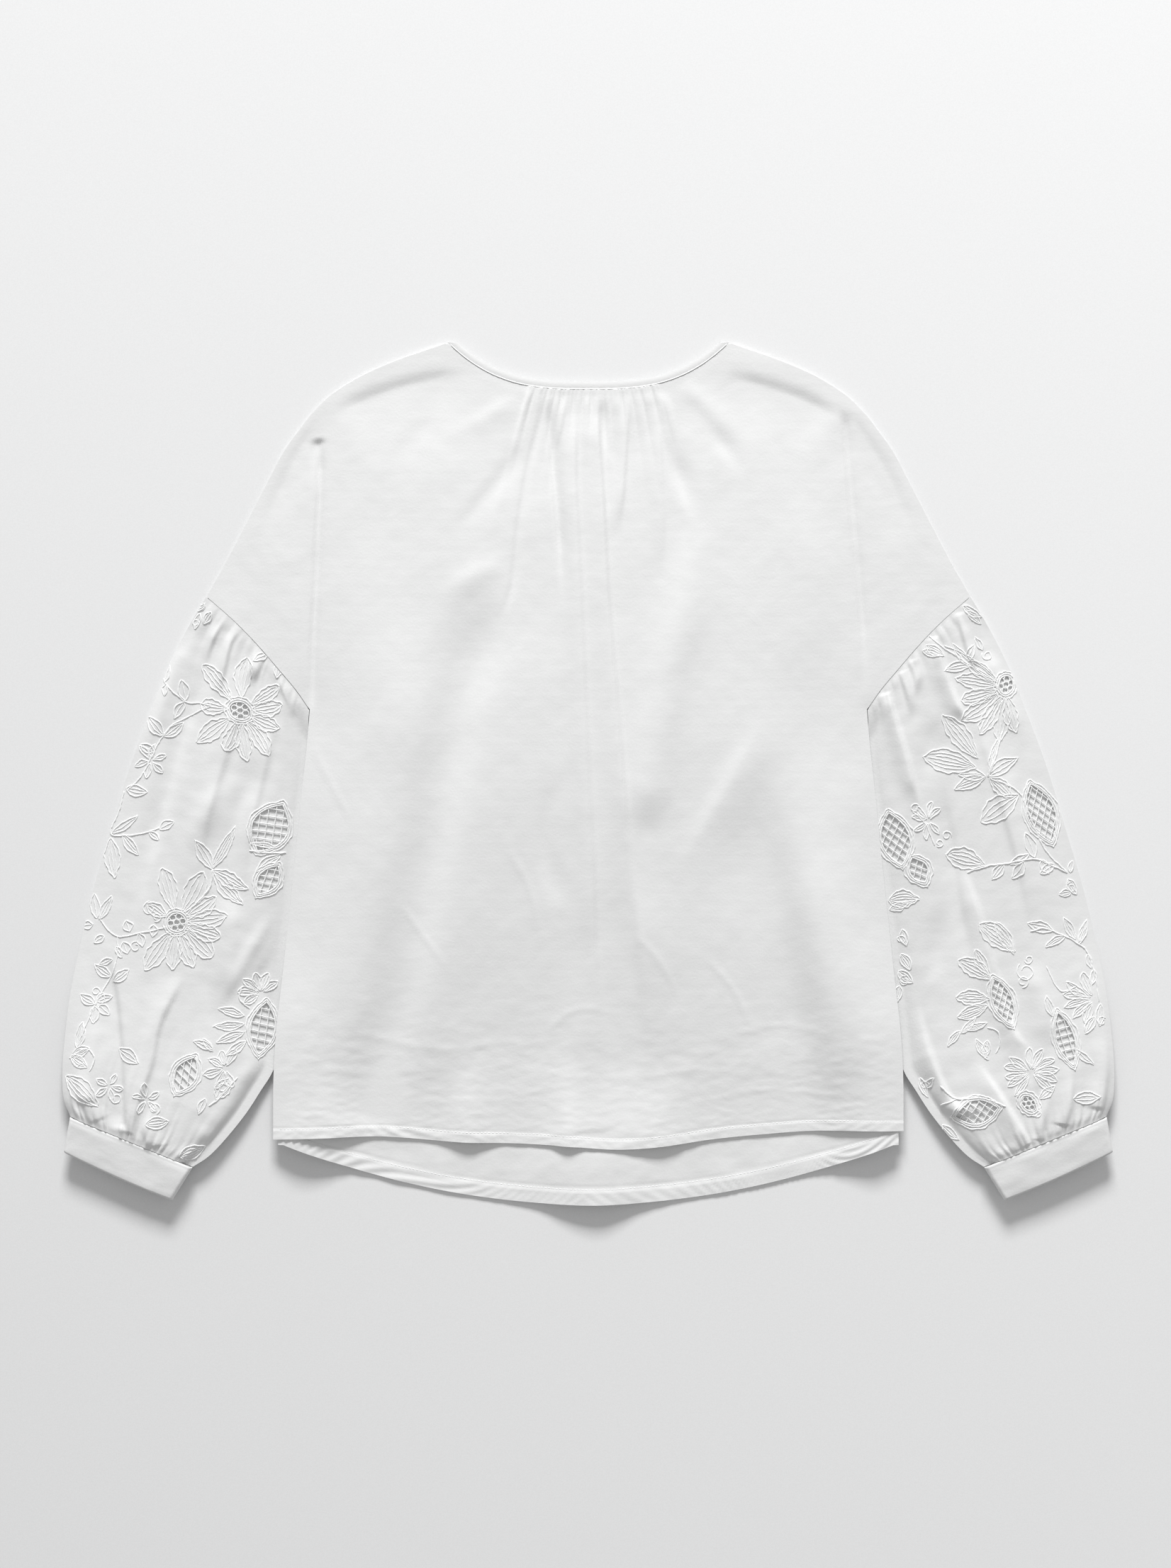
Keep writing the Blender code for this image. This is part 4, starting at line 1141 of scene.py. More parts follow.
@dataclass
class Body:
    """The front and back panels with their turned hems."""

    cloth: bpy.types.Material
    front: BodyPanel = field(default_factory=lambda: BodyPanel(
        arm=34, body=220, low=140, up=130, hem=front_hem_y, hem_corner=FRONT_HEM_CORNER))
    back: BodyPanel = field(default_factory=lambda: BodyPanel(
        arm=16, body=230, low=110, up=40, hem=back_hem_y, hem_corner=BACK_HEM_CORNER,
        neck_drop=BACK_NECK_DROP, inset=4.0))
    gather_height: float = 1.8
    front_step: float = 0.3
    front_groove: float = 0.3
    back_step: float = 0.55
    back_groove: float = 0.4

    def gathers(self, share: Array, x: Array, y: Array) -> Array:
        """The fine gathers under the neck binding.

        Args:
            share: shares of the body's columns, from 0 at the left.
            x: points' x.
            y: points' y.

        Returns:
            The gathers' height at each point.
        """
        pinch = self.front.gather_share
        run = (share - pinch) / (1 - 2 * pinch)
        inside = smooth(run / 0.03) * smooth((1 - run) / 0.03)
        below = neck_y(x) - y
        run = np.clip(run, 0, 1)
        fine = gather_wave(run, below, GATHERS, 3, 24.0) * (0.3 + 0.7 * smooth(below / 15.0))
        small = gather_wave(run, below, GATHERS * 2 + 3, 4, 6.0)
        return inside * (self.gather_height * fine + 0.7 * small)

    def front_place(self, column: Array, row: Array) -> tuple[Array, Array, Array]:
        """Where the front panel's outer face lies.

        Args:
            column: the points' column numbers.
            row: the points' row numbers.

        Returns:
            The points' x, y and z.
        """
        plan = self.front.plan(column, row)
        x, y = plan[:, 0], plan[:, 1]
        z = front_top(x, y)
        share = (column - self.front.arm) / self.front.body
        z += self.gathers(share, x, y) * (y > GATHER_END)
        band = y - front_hem_y(x)
        z += self.front_step * (1 - smooth((band - FRONT_HEM_BAND + 0.5) / 1.4)) * (np.abs(x) < 256)
        z -= self.front_groove * np.exp(-(((band - FRONT_HEM_BAND - 0.4) / 0.9) ** 2))
        strength = 0.12 + 0.28 * smooth((40 - np.abs(x + 150)) / 30)
        z += strength * FRONT_PUCKERS.at(x, band)
        return x, y, z

    def back_place(self, column: Array, row: Array) -> tuple[Array, Array, Array]:
        """Where the back panel's inner face lies, the side that shows past the front hem.

        Args:
            column: the points' column numbers.
            row: the points' row numbers.

        Returns:
            The points' x, y and z.
        """
        plan = self.back.plan(column, row)
        x, y = plan[:, 0], plan[:, 1]
        band = y - back_hem_y(x)
        z = back_under(x, y) + CLOTH + hem_lift(x, y)
        z += self.back_step * (1 - smooth((band - BACK_HEM_BAND + 0.6) / 1.2))
        z -= self.back_groove * np.exp(-(((band - BACK_HEM_BAND - 0.9) / 1.0) ** 2))
        strength = 0.22 + 0.3 * smooth((np.abs(x) - 60.0) / 80.0)
        z += strength * BACK_PUCKERS.at(x, band, np.sign(x + 3.0))
        z += TAIL.at(y) * swells(TAIL_SWELLS, x, y)
        return x, y, z

    def is_seam(self, x: float, y: float) -> bool:
        """Whether the front's edge is sewn to the neck binding or to a sleeve here.

        Args:
            x: the edge point's x.
            y: the edge point's y.

        Returns:
            True where it is sewn.
        """
        if abs(x) < NECK_HALF - 2:
            return y > 300
        return 226 < abs(x) < 308 and float(distance_to(SEAM, np.array(abs(x)), np.array(y))) < 0.5

    def build(self) -> list[bpy.types.Object]:
        """Both panels as laid sheets.

        Returns:
            The front and the back.
        """
        bm = self.front.grid()
        place_verts(bm, self.front_place)
        roll_rim(bm, FRONT_RIM, self.is_seam)
        front = finish_sheet("front_cloth", bm, self.cloth)
        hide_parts("front_panel")

        bm = self.back.grid()
        place_verts(bm, self.back_place)
        roll_rim(bm, BACK_RIM)
        back = finish_sheet("back_cloth", bm, self.cloth)
        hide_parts("back_panel")
        return [front, back]


class Opening(NamedTuple):
    """A hole worked in the sleeve: a leaf of drawn threads or a disc of eyelets."""

    x: float
    y: float
    length: float
    width: float
    turn: float
    pitch: float
    leaf: bool = True
    lines: tuple[float, ...] = (0.0, 90.0)


class Leaf(NamedTuple):
    """An embroidered leaf or petal from its base."""

    x: float
    y: float
    turn: float
    length: float
    width: float
    lines: int = 1
    blunt: float = 0.0
    bend: float = 0.0


class Flower(NamedTuple):
    """A ring of petals round a centre: their angles, lengths and usual width."""

    x: float
    y: float
    inner: float
    turns: tuple[float, ...]
    lengths: tuple[float, ...]
    width: float
    lines: int = 2


class Stem(NamedTuple):
    """A line of outline stitch through a few points."""

    points: tuple[tuple[float, float], ...]
    radius: float = 0.62


@dataclass(frozen=True)
class Motifs:
    """The needlework of one sleeve."""

    openings: tuple[Opening, ...]
    flowers: tuple[Flower, ...]
    leaves: tuple[Leaf, ...]
    stems: tuple[Stem, ...]
    curls: tuple[tuple[float, float, float], ...]


LEFT_MOTIFS = Motifs(
    openings=(
        Opening(-257.5, -44, 42, 28, 62, 6.2, lines=(20, -70)),
        Opening(-259, -86, 27, 15, 55, 5.8, lines=(16, -64)),
        Opening(-263.5, -206, 42, 19, 82, 6.2, lines=(0, 84)),
        Opening(-325, -243, 31, 17, 62, 5.6, lines=(18, 74)),
        Opening(-281.7, 51, 17, 13, -25, 5, leaf=False),
        Opening(-332.8, -120.3, 14, 14, 10, 5, leaf=False),
    ),
    flowers=(
        Flower(-281.7, 51, 9.5, (82, 129, 171, 216, 250, 278, 303, 336, 8, 32),
               (34, 39, 23, 34, 25, 32, 34, 26, 25, 28), 14, 3),
        Flower(-332.8, -120.3, 8.5, (104, 62, 33, 8, 342, 316, 290, 264, 236, 148),
               (37, 38, 30, 33, 29, 32, 30, 30, 38, 20), 15, 3),
        Flower(-354.2, 10.6, 2, (20, 75, 130, 200, 255, 315), (11, 12, 13, 12, 13, 12), 6.5, 1),
        Flower(-386.4, -252.3, 2, (60, 150, 215, 285, 350), (9, 10, 11, 12, 9), 6, 1),
        Flower(-356.5, -262.9, 2, (30, 95, 165, 240, 310), (10, 12, 9, 11, 10), 6, 1),
        Flower(-265, -178, 2.5, (35, 70, 105, 140, 175, 210), (14, 15, 15, 16, 16, 13), 9, 2),
        Flower(-293, -238, 2.5, (62, 104, 150, 196, 244, 292), (15, 12, 13, 16, 15, 14), 8, 2),
    ),
    leaves=(
        Leaf(-326.4, 59.5, 100, 17, 9), Leaf(-343, 74, 75, 15, 5), Leaf(-342, 72, 262, 9, 5),
        Leaf(-327, 58, 238, 16, 7), Leaf(-344, 31, 128, 20, 10, 2),
        Leaf(-343, 30, 38, 19, 8, 2), Leaf(-352, 18, 150, 12, 7), Leaf(-374.5, -12, -9, 18, 9, 2),
        Leaf(-386, -48, 33, 26, 6, 1), Leaf(-377, -49, -52, 21, 8, 2),
        Leaf(-356, -47, -38, 11, 5), Leaf(-347, -45, 27, 14, 7, 1),
        Leaf(-387, -52, -84, 33, 13, 3), Leaf(-304.5, -77, 119, 27, 10, 2),
        Leaf(-304.5, -77, 61, 40, 8, 3), Leaf(-304, -78, -28, 33, 12, 3),
        Leaf(-303, -79, -48, 36, 12, 3), Leaf(-398, -117, 96, 20, 8, 1),
        Leaf(-396, -118, 62, 22, 7, 2), Leaf(-401, -122, 190, 9, 6), Leaf(-392, -131, 215, 10, 6),
        Leaf(-371, -128, 108, 10, 8), Leaf(-376, -136, 288, 10, 8), Leaf(-363, -129, 285, 11, 7),
        Leaf(-351, -122, 262, 10, 7), Leaf(-385, -150, 200, 11, 5), Leaf(-382, -140, 300, 10, 5),
        Leaf(-386.5, -164, 142, 16, 8, 2), Leaf(-384, -168, 38, 16, 8, 2),
        Leaf(-392, -177, 250, 13, 6), Leaf(-399, -186, 148, 14, 8, 2),
        Leaf(-398, -188, 262, 14, 8, 2), Leaf(-397, -184, 18, 13, 6),
        Leaf(-396, -187, 318, 12, 7), Leaf(-413, -222, 78, 22, 8, 3),
        Leaf(-379, -222, -36, 20, 10, 2), Leaf(-422, -244, -42, 36, 17, 4),
        Leaf(-416, -226, 18, 15, 8, 3), Leaf(-418, -228, -32, 17, 9, 3),
        Leaf(-357, -283, 8, 19, 10, 3), Leaf(-330, -309, 22, 22, 11, 4),
        Leaf(-252, -60, 172, 22, 4, 1), Leaf(-249, -66, 214, 24, 8, 2),
        Leaf(-247, 92, 250, 16, 8, 2), Leaf(-259, 97, 205, 13, 6, 1),
        Leaf(-310, 138, 210, 12, 6, 2),
        Leaf(-314, 130, 250, 14, 5, 2), Leaf(-305, 131, 238, 12, 6, 2),
        Leaf(-278, -196, 165, 22, 7, 2), Leaf(-278, -202, 184, 25, 7, 2),
        Leaf(-278, -209, 200, 24, 7, 2), Leaf(-277, -216, 216, 20, 7, 2),
        Leaf(-303, -222, 160, 17, 6, 1), Leaf(-303, -224, 128, 13, 5, 1),
        Leaf(-309, -262, 246, 14, 6, 1), Leaf(-290, -246, 238, 20, 12, 2),
    ),
    stems=(
        Stem(((-345, 78), (-340, 70), (-327, 59), (-314, 57), (-305, 55))),
        Stem(((-308, 54), (-322, 47), (-336, 40), (-344, 31), (-351, 19), (-362, -2), (-374, -14))),
        Stem(((-376, -14), (-380, -30), (-387, -48), (-375, -50), (-360, -48), (-347, -44))),
        Stem(((-304, -77), (-306, -92), (-318, -106)), 0.8),
        Stem(((-341, -124), (-352, -127), (-364, -129), (-378, -132), (-387, -128), (-395, -118))),
        Stem(((-381, -132), (-381, -148), (-386, -164), (-394, -178), (-401, -192), (-411, -216))),
        Stem(((-419, -230), (-405, -222), (-398, -230), (-402, -240))),
        Stem(((-245, -64), (-259, -64), (-274, -62)), 0.8),
        Stem(((-283, -245), (-298, -262), (-306, -268)), 0.7),
        Stem(((-274, -190), (-282, -182), (-280, -172)), 0.7),
    ),
    curls=((-355, -109, 5.5), (-349, -116, 4), (-366, -140, 4.5), (-308, 56, 3),
           (-398, -176, 3.5), (-412, -233, 5), (-381, -262, 4.5), (-350, -270, 5),
           (-313, 136, 4), (-318, 122, 3), (-295, -254, 5)),
)

RIGHT_MOTIFS = Motifs(
    openings=(
        Opening(366.5, -32, 50, 22, 110, 5, lines=(34, -34)),
        Opening(248.5, -53, 43, 22, 104, 5.4, lines=(38, -38)),
        Opening(267, -78, 22, 14, 118, 5, lines=(40, -40)),
        Opening(385, -214, 44, 14, 106, 6, lines=(0, 88)),
        Opening(313, -273, 34, 19, 12, 5.4, lines=(46, -46)),
        Opening(334.5, -184, 40, 15, 112, 4.6, lines=(34, -38)),
        Opening(338, 72, 14, 11, 80, 4.8, leaf=False),
        Opening(355, -266, 14, 9, -50, 4.2, leaf=False),
    ),
    flowers=(
        Flower(338, 70, 8, (146, 170, 196, 216, 240, 262, 282),
               (30, 34, 30, 37, 36, 37, 30), 12.5, 3),
        Flower(275, -38, 2, (45, 80, 130, 165, 215, 265, 310), (12, 14, 13, 12, 12, 14, 12), 6, 1),
        Flower(357, -241, 3, (145, 168, 190, 212, 236, 318, 342, 6, 28, 62, 92),
               (18, 19, 18, 19, 20, 20, 19, 20, 19, 18, 17), 7.5, 2),
        Flower(408, -182, 3, (112, 148, 172, 196, 222, 250), (20, 23, 22, 22, 20, 18), 8.5, 2),
    ),
    leaves=(
        Leaf(312, 86, 132, 26, 7, 2), Leaf(309, 88, 192, 22, 8, 2), Leaf(312, 104, 250, 14, 6),
        Leaf(319, 100, 120, 12, 5), Leaf(303, 136, 330, 18, 7, 2), Leaf(306, 132, 318, 16, 6, 2),
        Leaf(273, 104, 330, 17, 8, 3), Leaf(270, 99, 350, 15, 6, 2),
        Leaf(315, 12, 129, 46, 16, 4, 0.3), Leaf(314, 5, 168, 44, 19, 5, 0.4),
        Leaf(321, -2, 178, 22, 9, 2), Leaf(321, -3, 201, 27, 10, 3),
        Leaf(323, -2, 31, 29, 11, 2), Leaf(324, -3, 318, 24, 12, 4, 0.3),
        Leaf(324, 0, 75, 30, 5, 2), Leaf(348, -17, 216, 38, 19, 3, 0.3),
        Leaf(321, -74, 164, 33, 17, 4, 0.4), Leaf(336, -73, 232, 16, 8, 2),
        Leaf(341, -73, 28, 17, 6, 1), Leaf(352, -71, 236, 17, 8, 1),
        Leaf(361, -68, 112, 22, 9, 1), Leaf(366, -70, 300, 13, 7, 1), Leaf(377, -73, 214, 14, 7, 1),
        Leaf(390, -80, 78, 10, 4), Leaf(388, -85, 300, 15, 7, 3), Leaf(391, -96, 188, 10, 6, 2),
        Leaf(243, -103, 4, 25, 15, 5), Leaf(244, -110, 20, 16, 6, 3),
        Leaf(254, -126, 285, 14, 7, 2), Leaf(253, -146, 300, 15, 8, 3),
        Leaf(251, -160, 320, 15, 9, 3), Leaf(252, -172, 262, 13, 7, 3),
        Leaf(345, -144, 142, 37, 17, 5, 0.5), Leaf(344, -146, 120, 30, 10, 3, 0.4),
        Leaf(325, -166, 150, 30, 14, 4, 0.4), Leaf(324, -163, 118, 24, 9, 3, 0.3),
        Leaf(324, -182, 178, 27, 12, 4, 0.4), Leaf(323, -187, 202, 27, 10, 4, 0.3),
        Leaf(376, -127, 164, 22, 9, 2), Leaf(394, -134, 118, 20, 7, 2),
        Leaf(397, -137, 70, 20, 6, 3), Leaf(386, -131, 208, 19, 6, 2),
        Leaf(404, -146, 285, 12, 5, 1), Leaf(409, -158, 262, 13, 5, 1),
        Leaf(414, -186, 268, 18, 7, 2), Leaf(409, -196, 240, 16, 7, 2),
        Leaf(301, -210, 48, 18, 5, 3), Leaf(304, -207, 18, 19, 5, 3),
        Leaf(300, -208, 232, 16, 5, 2), Leaf(313, -214, 300, 20, 6, 3),
        Leaf(322, -215, 262, 15, 6, 3), Leaf(391, -262, 4, 22, 10, 2),
        Leaf(268, -246, 292, 17, 6, 2), Leaf(273, -254, 56, 10, 5, 1),
        Leaf(286, -284, 318, 18, 7, 2), Leaf(364, -262, 40, 16, 7, 2),
        Leaf(375, -196, 108, 18, 6, 2), Leaf(393, -222, 320, 19, 5, 1),
    ),
    stems=(
        Stem(((274, 113), (286, 103), (300, 94), (311, 86), (322, 79), (331, 74))),
        Stem(((288, 104), (304, 97), (318, 88), (330, 78)), 0.55),
        Stem(((335, 34), (330, 16), (324, -2), (336, -8), (349, -16), (357, -34), (370, -62),
              (388, -80)), 0.7),
        Stem(((388, -80), (374, -74), (360, -69), (342, -72), (322, -75), (306, -80)), 0.7),
        Stem(((357, -128), (368, -125), (382, -130), (394, -136), (404, -145), (410, -164),
              (413, -184)), 0.7),
        Stem(((370, -156), (377, -170), (384, -176), (394, -172)), 0.6),
        Stem(((322, -205), (330, -208), (332, -218), (329, -226)), 0.6),
        Stem(((284, -252), (296, -262), (318, -262), (336, -268)), 0.8),
        Stem(((284, -268), (300, -262), (320, -260)), 0.6),
        Stem(((262, -30), (272, -40), (280, -58)), 0.6),
    ),
    curls=((353.6, -160, 8), (351, -168, 5), (356, -150, 4), (320, -222, 4),
           (391, -92, 4.5), (264, -28, 4), (290, -50, 4), (284, -56, 3.5),
           (253, -134, 4), (256, -168, 4.5), (323, 96, 4.5), (415, -200, 4),
           (272, -252, 3.5), (362, -274, 3.5)),
)


def outline_value(opening: Opening, u: Array, v: Array) -> Array:
    """Below 0 inside the hole's outline, 0 on it; u runs along the hole and v across.

    Args:
        opening: the hole.
        u: places along the hole, from its middle.
        v: places across it.

    Returns:
        The outline's value at each place.
    """
    u, v = np.abs(u) / (opening.length / 2), np.abs(v) / (opening.width / 2)
    if opening.leaf:
        return v + u**2.0 - 1.0
    return u**2 + v**2 - 1.0


def to_hole(opening: Opening, x: Array, y: Array) -> tuple[Array, Array]:
    """Turns points into the hole's own length and width.

    Args:
        opening: the hole.
        x: points' x.
        y: points' y.

    Returns:
        Places along and across the hole, from its middle.
    """
    turn = math.radians(opening.turn)
    dx, dy = x - opening.x, y - opening.y
    return (dx * math.cos(turn) + dy * math.sin(turn), dy * math.cos(turn) - dx * math.sin(turn))


def from_hole(opening: Opening, u: Array, v: Array) -> Array:
    """Points of the sleeve from the hole's own length and width.

    Args:
        opening: the hole.
        u: places along the hole, from its middle.
        v: places across it.

    Returns:
        One x and y for each place.
    """
    turn = math.radians(opening.turn)
    return np.stack([opening.x + u * math.cos(turn) - v * math.sin(turn),
                     opening.y + u * math.sin(turn) + v * math.cos(turn)], -1)


@dataclass
class Needlework:
    """Gathers strokes of thread that lie on a cloth and makes one mesh of them."""

    cloth: BVHTree
    seed: int
    step: float = 1.15
    lift: float = 0.02
    strokes: list[tuple[Array, Array]] = field(default_factory=list)

    def __post_init__(self) -> None:
        """Sets the source of the hand's small unevenness."""
        self.rng = np.random.default_rng(self.seed)

    def height(self, x: float, y: float) -> float | None:
        """Height of the cloth at a point, or None beside it."""
        hit = self.cloth.ray_cast(Vector((x * MM, y * MM, 0.06)), Vector((0, 0, -1)))
        return None if hit[0] is None else hit[0].z / MM

    def stroke(self, points: Array, radius: float, wobble: float = 0.22, sink: float = 0.0) -> None:
        """Adds one thread through these points, parted where it leaves the cloth.

        Args:
            points: x and y of the line.
            radius: the thread's radius.
            wobble: how far the hand strays.
            sink: how far the thread lies below the cloth's face.
        """
        points = np.asarray(points, float)
        run = run_of(points)
        if run[-1] < SHORTEST_THREAD:
            return
        count = max(3, int(run[-1] / self.step) + 1)
        at = np.linspace(0, run[-1], count)
        line = points_at(points, run, at)
        stray = self.rng.normal(0.0, wobble, (count, 2))
        stray[1:-1] = (stray[:-2] + stray[1:-1] + stray[2:]) / 2.0
        line = line + stray
        thick = radius * self.rng.uniform(0.82, 1.16, count)
        thick[0] *= 0.6
        thick[-1] *= 0.6
        part: list[tuple[float, float, float]] = []
        sizes: list[float] = []
        for (x, y), size in zip(line, thick):
            z = self.height(x, y)
            if z is None:
                self.keep(part, sizes)
                part, sizes = [], []
                continue
            part.append((x, y, z + self.lift - sink))
            sizes.append(size)
        self.keep(part, sizes)

    def keep(self, part: list[tuple[float, float, float]], sizes: list[float]) -> None:
        """Keeps a run of points if it is long enough to be a thread."""
        if len(part) > 2:
            self.strokes.append((np.array(part), np.array(sizes)))

    def leaf(self, leaf: Leaf, radius: float = 0.6) -> None:
        """A leaf or petal: its outline and the lines that fill it.

        Args:
            leaf: the leaf's place and shape.
            radius: its outline thread's radius.
        """
        turn = math.radians(leaf.turn)
        way = np.array([math.cos(turn), math.sin(turn)])
        side = np.array([-way[1], way[0]])
        t = np.linspace(0, 1, 24)
        blunt = leaf.blunt + self.rng.uniform(-0.05, 0.05)
        swell = np.sin(np.pi * t ** (0.9 + 0.75 * blunt)) ** (1.0 - 0.5 * blunt)
        bend = (leaf.bend + self.rng.uniform(-0.1, 0.1)) * leaf.length * np.sin(np.pi * t) * 0.5
        base = np.array([leaf.x, leaf.y])
        centre = base + way * (t * leaf.length)[:, None] + side * bend[:, None]
        half = side * (swell * leaf.width / 2)[:, None]
        notch = side * (0.5 * np.sin(t * 9.0 * np.pi) * (t > 0.25) * (t < 0.97))[:, None]
        self.stroke(centre + half + notch * (leaf.width > 11), radius)
        self.stroke(centre - half + notch * (leaf.width > 11), radius)
        for k in range(leaf.lines):
            off = (k + 1) / (leaf.lines + 1) * 2 - 1
            first, last = (1, int(19 + 3 * self.rng.random())) if k % 2 else (2, 22)
            line = centre + half * off * 0.92
            self.stroke(line[first:last], radius * 0.72)

    def flower(self, flower: Flower) -> None:
        """A ring of petals, each with inner lines.

        Args:
            flower: the flower's place and petals.
        """
        for turn, length in zip(flower.turns, flower.lengths):
            angle = math.radians(turn)
            x = flower.x + flower.inner * math.cos(angle)
            y = flower.y + flower.inner * math.sin(angle)
            width = flower.width * min(1.2, 0.62 + length / 90.0) * self.rng.uniform(0.85, 1.12)
            blunt = self.rng.uniform(0.2, 0.8)
            self.leaf(Leaf(x, y, turn, length, width, flower.lines, blunt,
                           self.rng.uniform(-0.15, 0.15)))

    def curl(self, x: float, y: float, size: float) -> None:
        """A small curl of outline stitch.

        Args:
            x: its middle's x.
            y: its middle's y.
            size: its outer radius.
        """
        turn = self.rng.uniform(0, 2 * math.pi)
        t = np.linspace(0, 1, 20)
        radius = size * (1.0 - 0.55 * t)
        angle = turn + t * 2.2 * math.pi
        line = np.stack([x + radius * np.cos(angle), y + radius * np.sin(angle)], -1)
        self.stroke(line, 0.52, 0.15)

    def net(self, opening: Opening) -> None:
        """The threads of a hole: a lattice in a leaf, rings in a disc, and its corded border.

        Args:
            opening: the hole that the threads fill.
        """
        turn = np.linspace(0, 2 * math.pi, 65)
        u, v = np.cos(turn), np.sin(turn)
        if opening.leaf:
            u, v = u * opening.length / 2, (1 - u**2) * np.sign(v) * opening.width / 2
        else:
            u, v = u * opening.length / 2, v * opening.width / 2
        scallops = 3.2 + 0.9 * np.abs(np.sin(np.linspace(0, 11 * math.pi, 65)))
        for out, radius, wobble in ((0.4, 0.66, 0.14), (1.9, 0.66, 0.14), (scallops, 0.6, 0.2)):
            self.stroke(from_hole(opening, u * (1 + 2.2 * out / opening.length),
                                  v * (1 + 2.2 * out / opening.width)), radius, wobble)
        if opening.leaf:
            self.lattice(opening)
        else:
            self.rings(opening)

    def lattice(self, opening: Opening) -> None:
        """Threads across a leaf-shaped hole, one set of even lines for each of its angles.

        Args:
            opening: the hole, a leaf.
        """
        reach = opening.length / 2
        free = np.linspace(-reach, reach, 121)
        count = int(reach / opening.pitch) + 1
        for turn in opening.lines:
            way = np.array([math.cos(math.radians(turn)), math.sin(math.radians(turn))])
            for k in range(-count, count):
                aside = (k + 0.5) * opening.pitch
                u, v = way[0] * free - way[1] * aside, way[1] * free + way[0] * aside
                inside = outline_value(opening, u, v) < 0.05
                if inside.sum() > 4:
                    self.stroke(from_hole(opening, u[inside], v[inside]), 0.44, 0.08, 0.15)

    def rings(self, opening: Opening) -> None:
        """Small worked rings packed side by side in a disc.

        Args:
            opening: the hole, a disc.
        """
        turn = np.linspace(0, 2 * math.pi, 13)
        radius = opening.pitch * 0.5
        for j in range(-3, 4):
            for i in range(-3, 4):
                u = (i + 0.5 * (j % 2)) * opening.pitch
                v = j * opening.pitch * 0.87
                if outline_value(opening, np.array(u), np.array(v)) < -0.12:
                    ring_u, ring_v = u + radius * np.cos(turn), v + radius * np.sin(turn)
                    self.stroke(from_hole(opening, ring_u, ring_v), 0.55, 0.06, 0.15)

    def build(self, name: str, thread: bpy.types.Material, sides: int = 1) -> bpy.types.Object:
        """One mesh of all the threads, from a bevelled curve.

        Args:
            name: the piece's name.
            thread: its finish.
            sides: how round the threads are.

        Returns:
            The piece.
        """
        curve = bpy.data.curves.new(name, "CURVE")
        curve.dimensions = "3D"
        curve.bevel_depth = MM
        curve.bevel_resolution = sides
        curve.use_fill_caps = True
        for points, sizes in self.strokes:
            line = curve.splines.new("POLY")
            line.points.add(len(points) - 1)
            flat = np.column_stack([points * MM, np.ones(len(points))]).astype(np.float32)
            line.points.foreach_set("co", flat.ravel())
            line.points.foreach_set("radius", sizes.astype(np.float32))
        holder = link(name + "_line", curve)
        mesh = bpy.data.meshes.new_from_object(holder)
        bpy.data.objects.remove(holder)
        mesh.name = name
        return add_object(name, mesh, thread)


